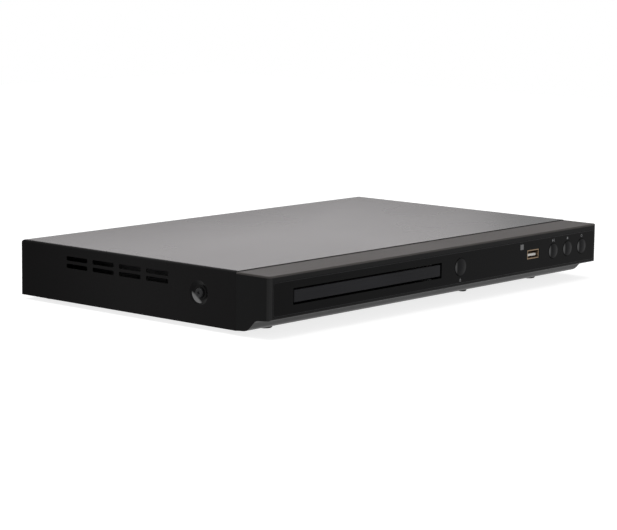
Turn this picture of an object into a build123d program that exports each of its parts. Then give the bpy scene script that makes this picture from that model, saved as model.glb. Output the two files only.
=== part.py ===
from build123d import *
import os
from math import acos, atan, cos, degrees, hypot, pi, radians, sin, tan

# A slim disc player with a motor-driven tray, built as the pieces it comes
# apart into on a bench. Millimetres. X runs to the right, Y to the back and
# Z up. The origin is on the table, under the middle of the player's box.

os.makedirs("parts", exist_ok=True)

# -------------------------------------------- what the housing is sized round
tray_centre = 97.8        # from the left end
loader_half = 70.0        # disc loader, half its width
loader_aisle = 25.2       # loader to the main board
main_width = 100.0
main_depth = 90.0
board_gap = 3.0           # between boards, and board to rear panel
power_width = 56.0
power_depth = 96.0
power_side = 8.0          # power board to the fascia's right end
loader_setback = 30.0     # behind the fascia's front face
spindle_setback = 94.0    # disc centre behind the fascia's front face
lens_start = 24.0         # lens behind the disc centre, at the lead-in
pickup_length = 26.0
pickup_rear = 18.0        # lens to the pickup's rear face
pickup_travel = 35.0
window_clear = 1.5        # pickup, at its outer limit, to the window's end
plate_rim = 5.5           # window to the traverse plate's rear edge
lift_tail = 8.0           # pivot to the lift frame's rear edge
well_gap = 6.0            # lift frame to the rear of the well it swings in
loader_rear = 14.0        # well to the loader's rear face
rear_space = 21.0         # loader to the cover's rear lip
window_setback = spindle_setback + lens_start + pickup_rear + pickup_travel + window_clear
pivot_setback = window_setback + plate_rim
well_back = pivot_setback + lift_tail + well_gap
loader_length = well_back + loader_rear - loader_setback

# ---------------------------------------------------------------- the box
body_width = (
    tray_centre + loader_half + loader_aisle + main_width + board_gap + power_width + power_side
)
body_depth = loader_setback + loader_length + rear_space    # to the cover's rear lip
cover_height = 37.8       # chassis underside to the top of the cover
foot_height = 3.0         # table to chassis underside
sheet = 0.8               # steel of cover, chassis and rear panel
bend_radius = 2.0         # outside of the cover's bends
cover_inset = 0.4         # cover side, in from the fascia's end
seam = 0.15               # line between the fascia and the cover
run_gap = 0.3             # between faces that slide past each other
bore_gap = 0.05           # radial, shaft to bore
seat_gap = 0.1            # between pieces that are fitted into each other

# ------------------------------------------------------------- the fascia
fascia_depth = 28.0
fascia_wall = 1.8
front_wall = 3.0          # front wall with the panel's pocket in it
chin_front = 9.5          # lower edge of the front face above the chassis
chin_lip = 8.4            # where the underside turns down
chin_foot = 0.9           # where it runs out level again
chin_rear = 0.2
chin_turn_setback = 11.5
chin_foot_setback = 18.5
chin_edge_radius = 1.0
chin_turn_radius = 6.0
chin_foot_radius = 8.0
fascia_corner = 2.5       # upright rounded corners
fascia_top = 36.1         # plastic, above the chassis underside
trim_thickness = 1.2      # brushed strip on top of the plastic
trim_edge = 0.9           # rounding along its front edge
panel_side = 3.2          # frame left and right of the gloss panel
panel_bottom = 11.3       # panel edges above the chassis underside
panel_top = 33.1
panel_thickness = 1.5
panel_corner = 2.2

# --------------------------------------------------------- tray and door
door_width = 149.0
door_height = 7.9
door_thickness = 4.6
door_corner = 0.5
door_level = 22.5         # door centre above the chassis underside
door_gap = 1.3            # dark line above and below the door
door_end_gap = 1.2
door_setback = 0.2
tray_width = 132.0
tray_height = 7.2
tray_rear_gap = 5.2       # tray's rear edge to the loader's
tray_travel = 140.0
tray_corner = 6.0
disc_radius = 61.0        # recess for a full-size disc
disc_depth = 3.6
small_disc_radius = 41.0
small_disc_depth = 1.0
deck = 1.8                # floor of the recesses
tray_skirt = 1.5
slot_half = 28.0          # opening for turntable and pickup

# --------------------------------------------------------------- controls
button_level = 22.6
button_radius = 5.3
open_button_radius = 6.0
button_ring = 0.35        # gap round a button
button_crown = 0.8        # dome proud of the panel
button_travel = 0.5
button_rim = 0.25         # the dome's edge proud of the panel
button_flange = 1.2
stem_radius = 2.0
power_from_right = 19.2
button_pitch = 18.0
open_from_door = 22.2
usb_from_right = 79.8
usb_level = 22.75
usb_lip = (14.4, 6.5)
usb_shell = (13.2, 5.7)
usb_wall = 0.35
usb_lip_depth = 0.5
usb_setback = 0.3
tongue = (11.1, 1.9)
tongue_level = -0.7       # tongue centre below the mouth's centre
tongue_setback = 1.6
window_from_usb = 13.9
window_level = 29.0
window_size = 4.6

# ------------------------------------------------- side vents and screws
vent_length = 20.0
vent_height = 3.0
vent_corner = 1.0
vent_columns = 4
vent_rows = 2
vent_pitch = 25.0
vent_row_pitch = 5.0
vent_setback = 135.0      # centre of the vent field
vent_level = 27.0
dimple_setback = 60.5
dimple_level = 20.3
dimple_radius = 8.0
dimple_floor = 5.2
dimple_depth = 1.4
screw_head_radius = 3.2
screw_head_height = 1.7
screw_radius = 1.4
screw_length = 6.0

# ---------------------------------------------------------- under the box
front_foot_inset = 35.0   # from each end
front_foot_setback = 35.0
rear_foot_inset = 17.0
rear_foot_from_back = 14.0
foot_radius = 5.0
rear_foot_radius = 6.0
foot_draft = 0.4
foot_edge = 0.5
pad_from_left = 241.0
pad_setback = 33.0
pad_radius = 3.5
pan_wall = 15.0
pan_bend = 1.5
tab_width = 24.0
rear_lip = 5.0

# ---------------------------------------------------------- places worked out
jack_reach = 8.0          # jack barrels proud of the rear lip
front_y = (button_crown - body_depth - jack_reach) / 2
back_y = front_y + body_depth
left_x = -body_width / 2
right_x = body_width / 2
base_z = foot_height
floor_z = base_z + sheet
top_z = base_z + cover_height
ceiling_z = top_z - sheet
cover_half = body_width / 2 - cover_inset
cover_inner = cover_half - sheet
pan_half = cover_inner - dimple_depth
pan_front = front_y + fascia_depth + seam
pan_back = back_y - 2 * sheet
board_thickness = 1.6
standoff = 5.0
board_z = floor_z + standoff
board_top = board_z + board_thickness


def at_front(setback):
    """Upright plane that faces the front, some way behind the front face."""
    return Plane.XZ.offset(-(front_y + setback))


def at_height(height):
    return Plane.XY.offset(height)


# =================================================================== chassis
# Folded steel pan: floor, front and side walls, screw tabs that reach up to
# the cover's dimples, and standoffs pressed up for the circuit boards.
power_x = right_x - power_side - power_width / 2
power_y = pan_back - board_gap - power_depth / 2
main_x = power_x - power_width / 2 - board_gap - main_width / 2
main_y = pan_back - board_gap - main_depth / 2
standoff_radius = 3.0
board_margin = 5.0

with BuildPart() as chassis_pan:
    with BuildSketch(at_height(base_z)):
        with Locations((0, (pan_front + pan_back) / 2)):
            Rectangle(2 * pan_half, pan_back - pan_front)
    extrude(amount=pan_wall)
    fillet(chassis_pan.edges().filter_by(Axis.Y).group_by(Axis.Z)[0], pan_bend)
    open_faces = [
        chassis_pan.faces().sort_by(Axis.Z)[-1],
        chassis_pan.faces().sort_by(Axis.Y)[-1],
    ]
    offset(amount=-sheet, openings=open_faces)
    tab_top = base_z + dimple_level + dimple_radius
    tab_foot = floor_z + pan_bend
    for tab_x in (pan_half - sheet, -pan_half):
        with BuildSketch(Plane.YZ.offset(tab_x)):
            with Locations((front_y + dimple_setback, (tab_foot + tab_top) / 2)):
                Rectangle(tab_width, tab_top - tab_foot)
        extrude(amount=sheet)
    with BuildSketch(at_height(floor_z)):
        with Locations((power_x, power_y)):
            with GridLocations(power_width - 2 * board_margin, power_depth - 2 * board_margin, 2, 2):
                Circle(standoff_radius)
        with Locations((main_x, main_y)):
            with GridLocations(main_width - 2 * board_margin, main_depth - 2 * board_margin, 2, 2):
                Circle(standoff_radius)
    extrude(amount=standoff)
    with BuildSketch(Plane.YZ):
        with Locations((front_y + dimple_setback, base_z + dimple_level)):
            Circle(screw_radius + seat_gap)
    extrude(amount=pan_half, both=True, mode=Mode.SUBTRACT)

chassis_pan.part.label = "chassis_pan"
export_step(chassis_pan.part, "parts/chassis_pan.step")

# ================================================================ top cover
# One sheet of steel folded into a U with a short rear lip. Both sides have
# rows of slots and a pressed dimple that seats on the chassis tab, where the
# screw goes in.
cover_front = front_y + fascia_depth + seam

with BuildPart() as top_cover:
    with BuildSketch(at_height(base_z)):
        with Locations((0, (cover_front + back_y) / 2)):
            Rectangle(2 * cover_half, back_y - cover_front)
    extrude(amount=cover_height)
    top_edges = top_cover.edges().group_by(Axis.Z)[-1]
    fillet(top_edges.filter_by(Axis.Y) + top_edges.filter_by(Axis.X).sort_by(Axis.Y)[-1:], bend_radius)
    open_faces = [
        top_cover.faces().sort_by(Axis.Z)[0],
        top_cover.faces().sort_by(Axis.Y)[0],
    ]
    offset(amount=-sheet, openings=open_faces)
    with BuildSketch(Plane.XZ.offset(-back_y)):
        with Locations((0, (base_z + top_z - rear_lip) / 2)):
            Rectangle(2 * cover_inner, top_z - rear_lip - base_z)
    extrude(amount=2 * sheet, both=True, mode=Mode.SUBTRACT)
    with BuildSketch(Plane.YZ):
        with Locations((front_y + vent_setback, base_z + vent_level)):
            with GridLocations(vent_pitch, vent_row_pitch, vent_columns, vent_rows):
                RectangleRounded(vent_length, vent_height, vent_corner)
    extrude(amount=cover_half, both=True, mode=Mode.SUBTRACT)
    for side in (-1, 1):
        with Locations((side * (cover_inner - dimple_depth / 2), front_y + dimple_setback, base_z + dimple_level)):
            Cone(dimple_radius + sheet / 2, dimple_floor + sheet / 2, dimple_depth, rotation=(0, -90 * side, 0))
        with Locations((side * (cover_half - dimple_depth / 2), front_y + dimple_setback, base_z + dimple_level)):
            Cone(
                dimple_radius,
                dimple_floor,
                dimple_depth,
                rotation=(0, -90 * side, 0),
                mode=Mode.SUBTRACT,
            )
    with BuildSketch(Plane.YZ):
        with Locations((front_y + dimple_setback, base_z + dimple_level)):
            Circle(screw_radius + seat_gap)
    extrude(amount=cover_half, both=True, mode=Mode.SUBTRACT)

top_cover.part.label = "top_cover"
export_step(top_cover.part, "parts/top_cover.step")

# Pan-head screws that clamp each dimple to its chassis tab.
with BuildPart() as cover_screws:
    for side in (-1, 1):
        with BuildSketch(Plane.YZ.offset(side * (cover_half - dimple_depth))):
            with Locations((front_y + dimple_setback, base_z + dimple_level)):
                Circle(screw_head_radius)
        extrude(amount=side * screw_head_height)
        with BuildSketch(Plane.YZ.offset(side * (cover_half - dimple_depth))):
            with Locations((front_y + dimple_setback, base_z + dimple_level)):
                Circle(screw_radius)
        extrude(amount=-side * screw_length)
    fillet(cover_screws.faces().sort_by(Axis.X)[-1].edges(), screw_head_height * 0.6)
    fillet(cover_screws.faces().sort_by(Axis.X)[0].edges(), screw_head_height * 0.6)

cover_screws.part.label = "cover_screws"
export_step(cover_screws.part, "parts/cover_screws.step")

# =============================================================== rear panel
# Flat steel plate that closes the back, with a cut-out for each connector.
rear_face = pan_back + sheet
inlet_x = power_x
inlet_level = 15.0
inlet_body = (23.0, 15.0)
inlet_depth = 20.0
inlet_proud = 1.0
inlet_mouth = (17.6, 9.8)
inlet_mouth_depth = 12.0
inlet_pin_radius = 1.2
inlet_pin_pitch = 8.6
inlet_pin_length = 9.0
jack_x = main_x - 26.0
jack_pitch = 14.0
jack_row_pitch = 13.6
jack_level = board_top + 6.6 + jack_row_pitch / 2 - base_z
jack_columns = 3
jack_rows = 2
jack_barrel_radius = 4.15
jack_hole_radius = 1.6
jack_collar_radius = 4.6
jack_body_depth = 12.0
hdmi_x = main_x + 22.0
hdmi_shell = (15.0, 6.2)
hdmi_wall = 0.4
hdmi_depth = 11.5
hdmi_tongue = (11.4, 1.2)

with BuildPart() as rear_panel:
    with BuildSketch(Plane.XZ.offset(-pan_back)) as rear_outline:
        panel_bottom_z = base_z
        panel_top_z = ceiling_z - bend_radius
        with Locations((0, (panel_bottom_z + panel_top_z) / 2)):
            Rectangle(2 * (cover_inner - seat_gap), panel_top_z - panel_bottom_z)
        fillet(rear_outline.vertices().group_by(Axis.Y)[-1], bend_radius)
        with Locations((inlet_x, base_z + inlet_level)):
            Rectangle(inlet_body[0] + 2 * seat_gap, inlet_body[1] + 2 * seat_gap, mode=Mode.SUBTRACT)
        with Locations((jack_x, base_z + jack_level)):
            with GridLocations(jack_pitch, jack_row_pitch, jack_columns, jack_rows):
                Circle(jack_collar_radius + seat_gap, mode=Mode.SUBTRACT)
        with Locations((hdmi_x, board_top + hdmi_shell[1] / 2 + seat_gap)):
            Rectangle(hdmi_shell[0] + 4 * seat_gap, hdmi_shell[1] + 3 * seat_gap, mode=Mode.SUBTRACT)
    extrude(amount=-sheet)

rear_panel.part.label = "rear_panel"
export_step(rear_panel.part, "parts/rear_panel.step")

# ==================================================================== feet
# Moulded rubber feet, tapered towards the table, and one small pad in the
# middle of the front edge.
for name, radius, inset, setback in (
    ("front_feet", foot_radius, front_foot_inset, front_foot_setback),
    ("rear_feet", rear_foot_radius, rear_foot_inset, body_depth - rear_foot_from_back),
):
    with BuildPart() as feet:
        for side in (-1, 1):
            with Locations((side * (body_width / 2 - inset), front_y + setback, foot_height / 2)):
                Cone(radius - foot_draft, radius, foot_height)
        chamfer(feet.edges().group_by(Axis.Z)[0], foot_edge)
    feet.part.label = name
    export_step(feet.part, f"parts/{name}.step")

with BuildPart() as front_pad:
    with Locations((left_x + pad_from_left, front_y + pad_setback, foot_height / 2)):
        Cone(pad_radius - foot_draft, pad_radius, foot_height)
    chamfer(front_pad.edges().group_by(Axis.Z)[0], foot_edge)

front_pad.part.label = "front_pad"
export_step(front_pad.part, "parts/front_pad.step")

# ================================================================== fascia
# One moulding: a hollow bar, open at the back, whose underside sweeps back
# in a chin. A pocket in its face takes the gloss panel.
door_x = left_x + tray_centre
open_x = door_x + door_width / 2 + open_from_door
power_button_x = right_x - power_from_right
stop_x = power_button_x - button_pitch
play_x = stop_x - button_pitch
usb_x = right_x - usb_from_right
window_x = usb_x - window_from_usb
board_setback = 14.0
boss_radius = 2.4
panel_gap = 0.2
buttons = (
    ("open", open_x, open_button_radius),
    ("play", play_x, button_radius),
    ("stop", stop_x, button_radius),
    ("power", power_button_x, button_radius),
)
board_bosses = (
    (open_x + 17.0, base_z + button_level),
    (usb_x - 26.0, base_z + button_level),
    (right_x - 8.0, base_z + window_level),
)


def front_openings(ring):
    """Holes for the door, buttons and socket, ring wider than the pieces."""
    with BuildSketch() as holes:
        with Locations((door_x, base_z + door_level)):
            Rectangle(door_width + 2 * door_end_gap, door_height + 2 * door_gap)
        for _, button_x, radius in buttons:
            with Locations((button_x, base_z + button_level)):
                Circle(radius + ring)
        with Locations((usb_x, base_z + usb_level)):
            RectangleRounded(usb_lip[0] + 2 * seat_gap, usb_lip[1] + 2 * seat_gap, 0.5)
    return holes.sketch


with BuildPart() as fascia_frame:
    with BuildSketch(Plane.YZ) as fascia_outline:
        with BuildLine():
            chin = FilletPolyline(
                (front_y, base_z + fascia_top),
                (front_y, base_z + chin_front),
                (front_y + chin_turn_setback, base_z + chin_lip),
                (front_y + chin_foot_setback, base_z + chin_foot),
                (front_y + fascia_depth, base_z + chin_rear),
                radius=(chin_edge_radius, chin_turn_radius, chin_foot_radius),
            )
            Polyline(chin @ 1, (front_y + fascia_depth, base_z + fascia_top), chin @ 0)
        make_face()
    extrude(amount=body_width / 2, both=True)
    with BuildSketch(at_height(0)) as fascia_plan:
        with Locations((0, front_y + fascia_depth / 2)):
            Rectangle(body_width, fascia_depth)
        fillet(fascia_plan.vertices().group_by(Axis.Y)[0], fascia_corner)
    extrude(amount=base_z + fascia_top, mode=Mode.INTERSECT)
    with BuildSketch(Plane.YZ) as fascia_cavity:
        add(fascia_outline.sketch_local)
        offset(amount=-fascia_wall)
        cavity_floor = base_z + chin_foot + fascia_wall
        cavity_top = base_z + fascia_top - fascia_wall
        with Locations((front_y + fascia_depth - fascia_wall, (cavity_floor + cavity_top) / 2)):
            Rectangle(4 * fascia_wall, cavity_top - cavity_floor)
        with Locations((front_y, (base_z + fascia_top) / 2)):
            Rectangle(2 * front_wall, base_z + fascia_top, mode=Mode.SUBTRACT)
    extrude(amount=body_width / 2 - fascia_corner, both=True, mode=Mode.SUBTRACT)
    with BuildSketch(at_front(0)):
        with Locations((0, base_z + (panel_bottom + panel_top) / 2)):
            RectangleRounded(body_width - 2 * panel_side, panel_top - panel_bottom, panel_corner)
    extrude(amount=-panel_thickness, mode=Mode.SUBTRACT)
    with BuildSketch(at_front(0)):
        add(front_openings(button_ring))
        with Locations((window_x, base_z + window_level)):
            Rectangle(window_size, window_size)
    extrude(amount=-front_wall, mode=Mode.SUBTRACT)
    with BuildSketch(at_front(front_wall)):
        with Locations(*board_bosses):
            Circle(boss_radius)
    extrude(amount=front_wall - board_setback)

fascia_frame.part.label = "fascia_frame"
export_step(fascia_frame.part, "parts/fascia_frame.step")

# Gloss panel let into the fascia, flush with its face: rails above and
# below the door's mouth, and the panel's two ends.
with BuildPart() as front_panel:
    with BuildSketch(at_front(0)):
        with Locations((0, base_z + (panel_bottom + panel_top) / 2)):
            RectangleRounded(
                body_width - 2 * panel_side - 2 * panel_gap,
                panel_top - panel_bottom - 2 * panel_gap,
                panel_corner - panel_gap,
            )
        add(front_openings(button_ring), mode=Mode.SUBTRACT)
    extrude(amount=-panel_thickness)
    for end in (-1, 1):
        mouth_end = door_x + end * (door_width / 2 + door_end_gap)
        split(bisect_by=Plane.YZ.offset(mouth_end), keep=Keep.BOTH)

front_panel.part.label = "front_panel"
export_step(front_panel.part, "parts/front_panel.step")

# Brushed strip that covers the whole top of the fascia.
with BuildPart() as fascia_top_trim:
    with BuildSketch(at_height(base_z + fascia_top)):
        add(fascia_plan.sketch_local)
    extrude(amount=trim_thickness)
    rim = fascia_top_trim.faces().sort_by(Axis.Z)[-1].edges().sort_by(Axis.Y)
    fillet(rim[:-1], trim_edge)

fascia_top_trim.part.label = "fascia_top_trim"
export_step(fascia_top_trim.part, "parts/fascia_top_trim.step")

# ================================================================= buttons
# Each button is a dome with a collar behind the front wall, and a stem. The
# stem pushes the plunger of a switch on the board behind.
switch_depth = 3.5
switch_size = 6.0
plunger_radius = 1.7
plunger_reach = 1.0
collar_thickness = 1.0
switch_front = board_setback - switch_depth

for name, button_x, radius in buttons:
    with BuildPart() as button:
        with BuildSketch(Plane((button_x, front_y, base_z + button_level), x_dir=(1, 0, 0), z_dir=(0, 0, 1))):
            with BuildLine():
                dome = TangentArc((0, -button_crown), (radius, -button_rim), tangent=(1, 0))
                Polyline(
                    dome @ 1,
                    (radius, front_wall + run_gap),
                    (radius + button_flange, front_wall + run_gap),
                    (radius + button_flange, front_wall + run_gap + collar_thickness),
                    (stem_radius, front_wall + run_gap + collar_thickness),
                    (stem_radius, switch_front - plunger_reach),
                    (0, switch_front - plunger_reach),
                    dome @ 0,
                )
            make_face()
        revolve(axis=Axis((button_x, 0, base_z + button_level), (0, 1, 0)))
    button.part.label = f"{name}_button"
    export_step(button.part, f"parts/{name}_button.step")

    with BuildPart() as plunger:
        with BuildSketch(at_front(switch_front - plunger_reach)):
            with Locations((button_x, base_z + button_level)):
                Circle(plunger_radius)
        extrude(amount=-plunger_reach - switch_depth / 2)
    plunger.part.label = f"{name}_plunger"
    export_step(plunger.part, f"parts/{name}_plunger.step")

# Switch bodies on the front board, each with a bore for its plunger.
with BuildPart() as tact_switches:
    with BuildSketch(at_front(switch_front)):
        for _, button_x, _ in buttons:
            with Locations((button_x, base_z + button_level)):
                Rectangle(switch_size, switch_size)
    extrude(amount=-switch_depth)
    with BuildSketch(at_front(switch_front)):
        for _, button_x, _ in buttons:
            with Locations((button_x, base_z + button_level)):
                Circle(plunger_radius + bore_gap)
    extrude(amount=-switch_depth / 2 - button_travel - run_gap, mode=Mode.SUBTRACT)

tact_switches.part.label = "tact_switches"
export_step(tact_switches.part, "parts/tact_switches.step")

# Front board, screwed to the fascia's bosses.
front_board_left = open_x - 12.0
front_board_right = right_x - 5.0
front_board_bottom = base_z + 12.5
front_board_top = base_z + fascia_top - fascia_wall - 1.0

with BuildPart() as front_board:
    with BuildSketch(at_front(board_setback)):
        board_middle = (front_board_left + front_board_right) / 2
        with Locations((board_middle, (front_board_bottom + front_board_top) / 2)):
            Rectangle(front_board_right - front_board_left, front_board_top - front_board_bottom)
    extrude(amount=-board_thickness)

front_board.part.label = "front_board"
export_step(front_board.part, "parts/front_board.step")

# Socket for a memory stick: a folded steel shell with a flared mouth, and
# the moulded tongue inside it that carries the contacts.
with BuildPart() as usb_socket:
    with BuildSketch(at_front(usb_setback)):
        with Locations((usb_x, base_z + usb_level)):
            RectangleRounded(*usb_lip, 0.4)
    extrude(amount=-usb_lip_depth)
    with BuildSketch(at_front(usb_setback)):
        with Locations((usb_x, base_z + usb_level)):
            RectangleRounded(*usb_shell, 0.4)
    extrude(amount=usb_setback - board_setback)
    with BuildSketch(at_front(usb_setback)):
        with Locations((usb_x, base_z + usb_level)):
            Rectangle(usb_shell[0] - 2 * usb_wall, usb_shell[1] - 2 * usb_wall)
    extrude(amount=usb_setback - board_setback, mode=Mode.SUBTRACT)

usb_socket.part.label = "usb_socket"
export_step(usb_socket.part, "parts/usb_socket.step")

with BuildPart() as usb_tongue:
    with BuildSketch(at_front(usb_setback + tongue_setback)):
        with Locations((usb_x, base_z + usb_level + tongue_level)):
            Rectangle(*tongue)
    extrude(amount=usb_setback + tongue_setback - board_setback)
    with BuildSketch(at_front(board_setback - 2.0)):
        with Locations((usb_x, base_z + usb_level)):
            Rectangle(usb_shell[0] - 2 * usb_wall, usb_shell[1] - 2 * usb_wall)
    extrude(amount=-2.0)
    chamfer(usb_tongue.faces().sort_by(Axis.Y)[0].edges().filter_by(Axis.X), 0.4)

usb_tongue.part.label = "usb_tongue"
export_step(usb_tongue.part, "parts/usb_tongue.step")

# Receiver for the remote, on the board behind the small window.
receiver_reach = 7.0
with BuildPart() as remote_receiver:
    with BuildSketch(at_front(board_setback - receiver_reach)):
        with Locations((window_x, base_z + window_level)):
            Rectangle(window_size, window_size)
    extrude(amount=-receiver_reach)
    with Locations((window_x, front_y + board_setback - receiver_reach, base_z + window_level)):
        Sphere(window_size / 2 - 0.3)

remote_receiver.part.label = "remote_receiver"
export_step(remote_receiver.part, "parts/remote_receiver.step")

# ==================================================================== gears
pressure_angle = radians(20.0)
backlash = 0.12           # off each tooth's thickness at the pitch line
addendum = 0.9            # in modules
dedendum = 1.25


def gear_outline(teeth, module, turn=0.0):
    """Involute spur gear about the origin, with a tooth centred at turn degrees."""
    pitch = teeth * module / 2
    base = pitch * cos(pressure_angle)
    root = pitch - dedendum * module
    tip = pitch + addendum * module
    half_tooth = (pi * module / 2 - backlash) / (2 * pitch)
    spread = tan(pressure_angle) - pressure_angle

    def half_angle(radius):
        slant = acos(min(1.0, base / radius))
        return half_tooth + spread - (tan(slant) - slant)

    start = max(base, root)
    radii = [root - 0.1] + [start + (tip - start) * step / 3 for step in range(4)]
    flank = [(radius, half_angle(max(radius, start))) for radius in radii]
    points = [(r * cos(a), -r * sin(a)) for r, a in flank]
    points += [(r * cos(a), r * sin(a)) for r, a in reversed(flank)]
    with BuildSketch() as outline:
        Circle(root)
        with PolarLocations(0, teeth, start_angle=turn):
            Polygon(*points, align=None)
    return outline.sketch


def rack_tooth(module):
    """One straight tooth that points along +X, with the pitch line on Y."""
    half = (pi * module / 2 - backlash) / 2
    slope = tan(pressure_angle) * module
    with BuildSketch() as outline:
        Polygon(
            (-dedendum * module, -half - slope * dedendum),
            (addendum * module, -half + slope * addendum),
            (addendum * module, half - slope * addendum),
            (-dedendum * module, half + slope * dedendum),
            align=None,
        )
    return outline.sketch


# ============================================================= tray and door
# The tray is one moulding with a stepped recess for two sizes of disc. It is
# open behind the disc's centre, so that turntable and pickup stay put while
# it runs out. A rack inside its left skirt takes the drive.
tray_x = door_x
disc_y = front_y + spindle_setback
tray_front = front_y + door_setback + door_thickness
tray_back = front_y + loader_setback + loader_length - tray_rear_gap
tray_length = tray_back - tray_front
tray_top = base_z + door_level + tray_height / 2
tray_bottom = tray_top - tray_height
recess_z = tray_top - disc_depth
deck_under = recess_z - deck
boss_under = deck_under - small_disc_depth
tray_left = tray_x - tray_width / 2
tray_right = tray_x + tray_width / 2
drive_module = 1.0
drive_teeth = 16
drive_pitch = drive_teeth * drive_module / 2
rack_root = 2.75          # skirt and rack body, outside to the teeth's roots
drive_x = tray_left + rack_root + dedendum * drive_module + drive_pitch
drive_y = front_y + 48.0
rack_margin = 8.0
tooth_step = pi * drive_module
rack_teeth = int((tray_travel + 2 * rack_margin) / tooth_step)

with BuildPart() as disc_tray:
    with BuildSketch(at_height(tray_bottom)) as tray_outline:
        with Locations((tray_x, (tray_front + tray_back) / 2)):
            Rectangle(tray_width, tray_length)
        fillet(tray_outline.vertices().group_by(Axis.Y)[-1], tray_corner)
    extrude(amount=tray_height)
    with BuildSketch(at_height(recess_z)):
        with Locations((tray_x, disc_y)):
            Circle(disc_radius)
    extrude(amount=disc_depth, mode=Mode.SUBTRACT)
    with BuildSketch(at_height(recess_z - small_disc_depth)):
        with Locations((tray_x, disc_y)):
            Circle(small_disc_radius)
    extrude(amount=small_disc_depth, mode=Mode.SUBTRACT)
    with BuildSketch(at_height(tray_bottom)):
        with Locations((tray_x, disc_y)):
            Circle(slot_half)
        with Locations((tray_x, (disc_y + tray_back) / 2)):
            Rectangle(2 * slot_half, tray_back - disc_y)
    extrude(amount=tray_height, mode=Mode.SUBTRACT)
    pocket_left = tray_left + rack_root
    pocket_right = tray_right - tray_skirt
    pocket_front = tray_front + tray_skirt
    with BuildSketch(at_height(tray_bottom)) as pocket:
        with Locations(((pocket_left + pocket_right) / 2, (pocket_front + tray_back) / 2)):
            Rectangle(pocket_right - pocket_left, tray_back - pocket_front)
    extrude(amount=boss_under - tray_bottom, mode=Mode.SUBTRACT)
    with BuildSketch(at_height(boss_under)):
        add(pocket.sketch_local)
        with Locations((tray_x, disc_y)):
            Circle(small_disc_radius + tray_skirt, mode=Mode.SUBTRACT)
    extrude(amount=deck_under - boss_under, mode=Mode.SUBTRACT)
    with BuildSketch(at_height(tray_bottom)):
        for tooth in range(rack_teeth):
            tooth_y = drive_y - rack_margin + tooth_step * (tooth + 0.5)
            tooth_y += rack_margin % tooth_step
            with Locations((drive_x - drive_pitch, tooth_y)):
                add(rack_tooth(drive_module))
    extrude(amount=deck_under - tray_bottom)

disc_tray.part.label = "disc_tray"
export_step(disc_tray.part, "parts/disc_tray.step")

with BuildPart() as tray_door:
    with BuildSketch(at_front(door_setback)):
        with Locations((door_x, base_z + door_level)):
            RectangleRounded(door_width, door_height, door_corner)
    extrude(amount=-door_thickness)
    chamfer(tray_door.faces().sort_by(Axis.Y)[0].edges(), 0.3)

tray_door.part.label = "tray_door"
export_step(tray_door.part, "parts/tray_door.step")

# ============================================================ loader frame
# Open-topped moulding that stands on the chassis floor. It carries the tray
# on two ledges, and the gear posts, and the pivot of the lift frame.
loader_wall = 2.5
loader_floor = 2.0
loader_top = base_z + 29.5
ledge_width = 5.5
ledge_thickness = 2.0
guide_length = 16.0
guide_thickness = 1.5
well_half = 54.0          # opening in the floor under the lift frame
lift_reach = 23.0         # disc centre to the lift frame's front edge
well_front = spindle_setback - lift_reach - 1.5
pivot_z = base_z + 11.8
pivot_radius = 2.0
pivot_bracket = 5.0
bracket_depth = 10.0
bracket_height = 4.0      # above the pivot
gear_post_radius = 1.5
loader_front = front_y + loader_setback
loader_back = loader_front + loader_length
loader_floor_z = floor_z + loader_floor
loader_mouth_z = tray_bottom - 2.0
ledge_top = tray_bottom - run_gap
pulley_x = drive_x + 18.0
lift_half = 52.0
tray_gear_z = tray_bottom + 0.2
tray_gear_thickness = 1.3
wheel_z = loader_floor_z + 6.7
wheel_thickness = 3.5
pulley_z = wheel_z + wheel_thickness + 0.5
pulley_height = 3.5

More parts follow.
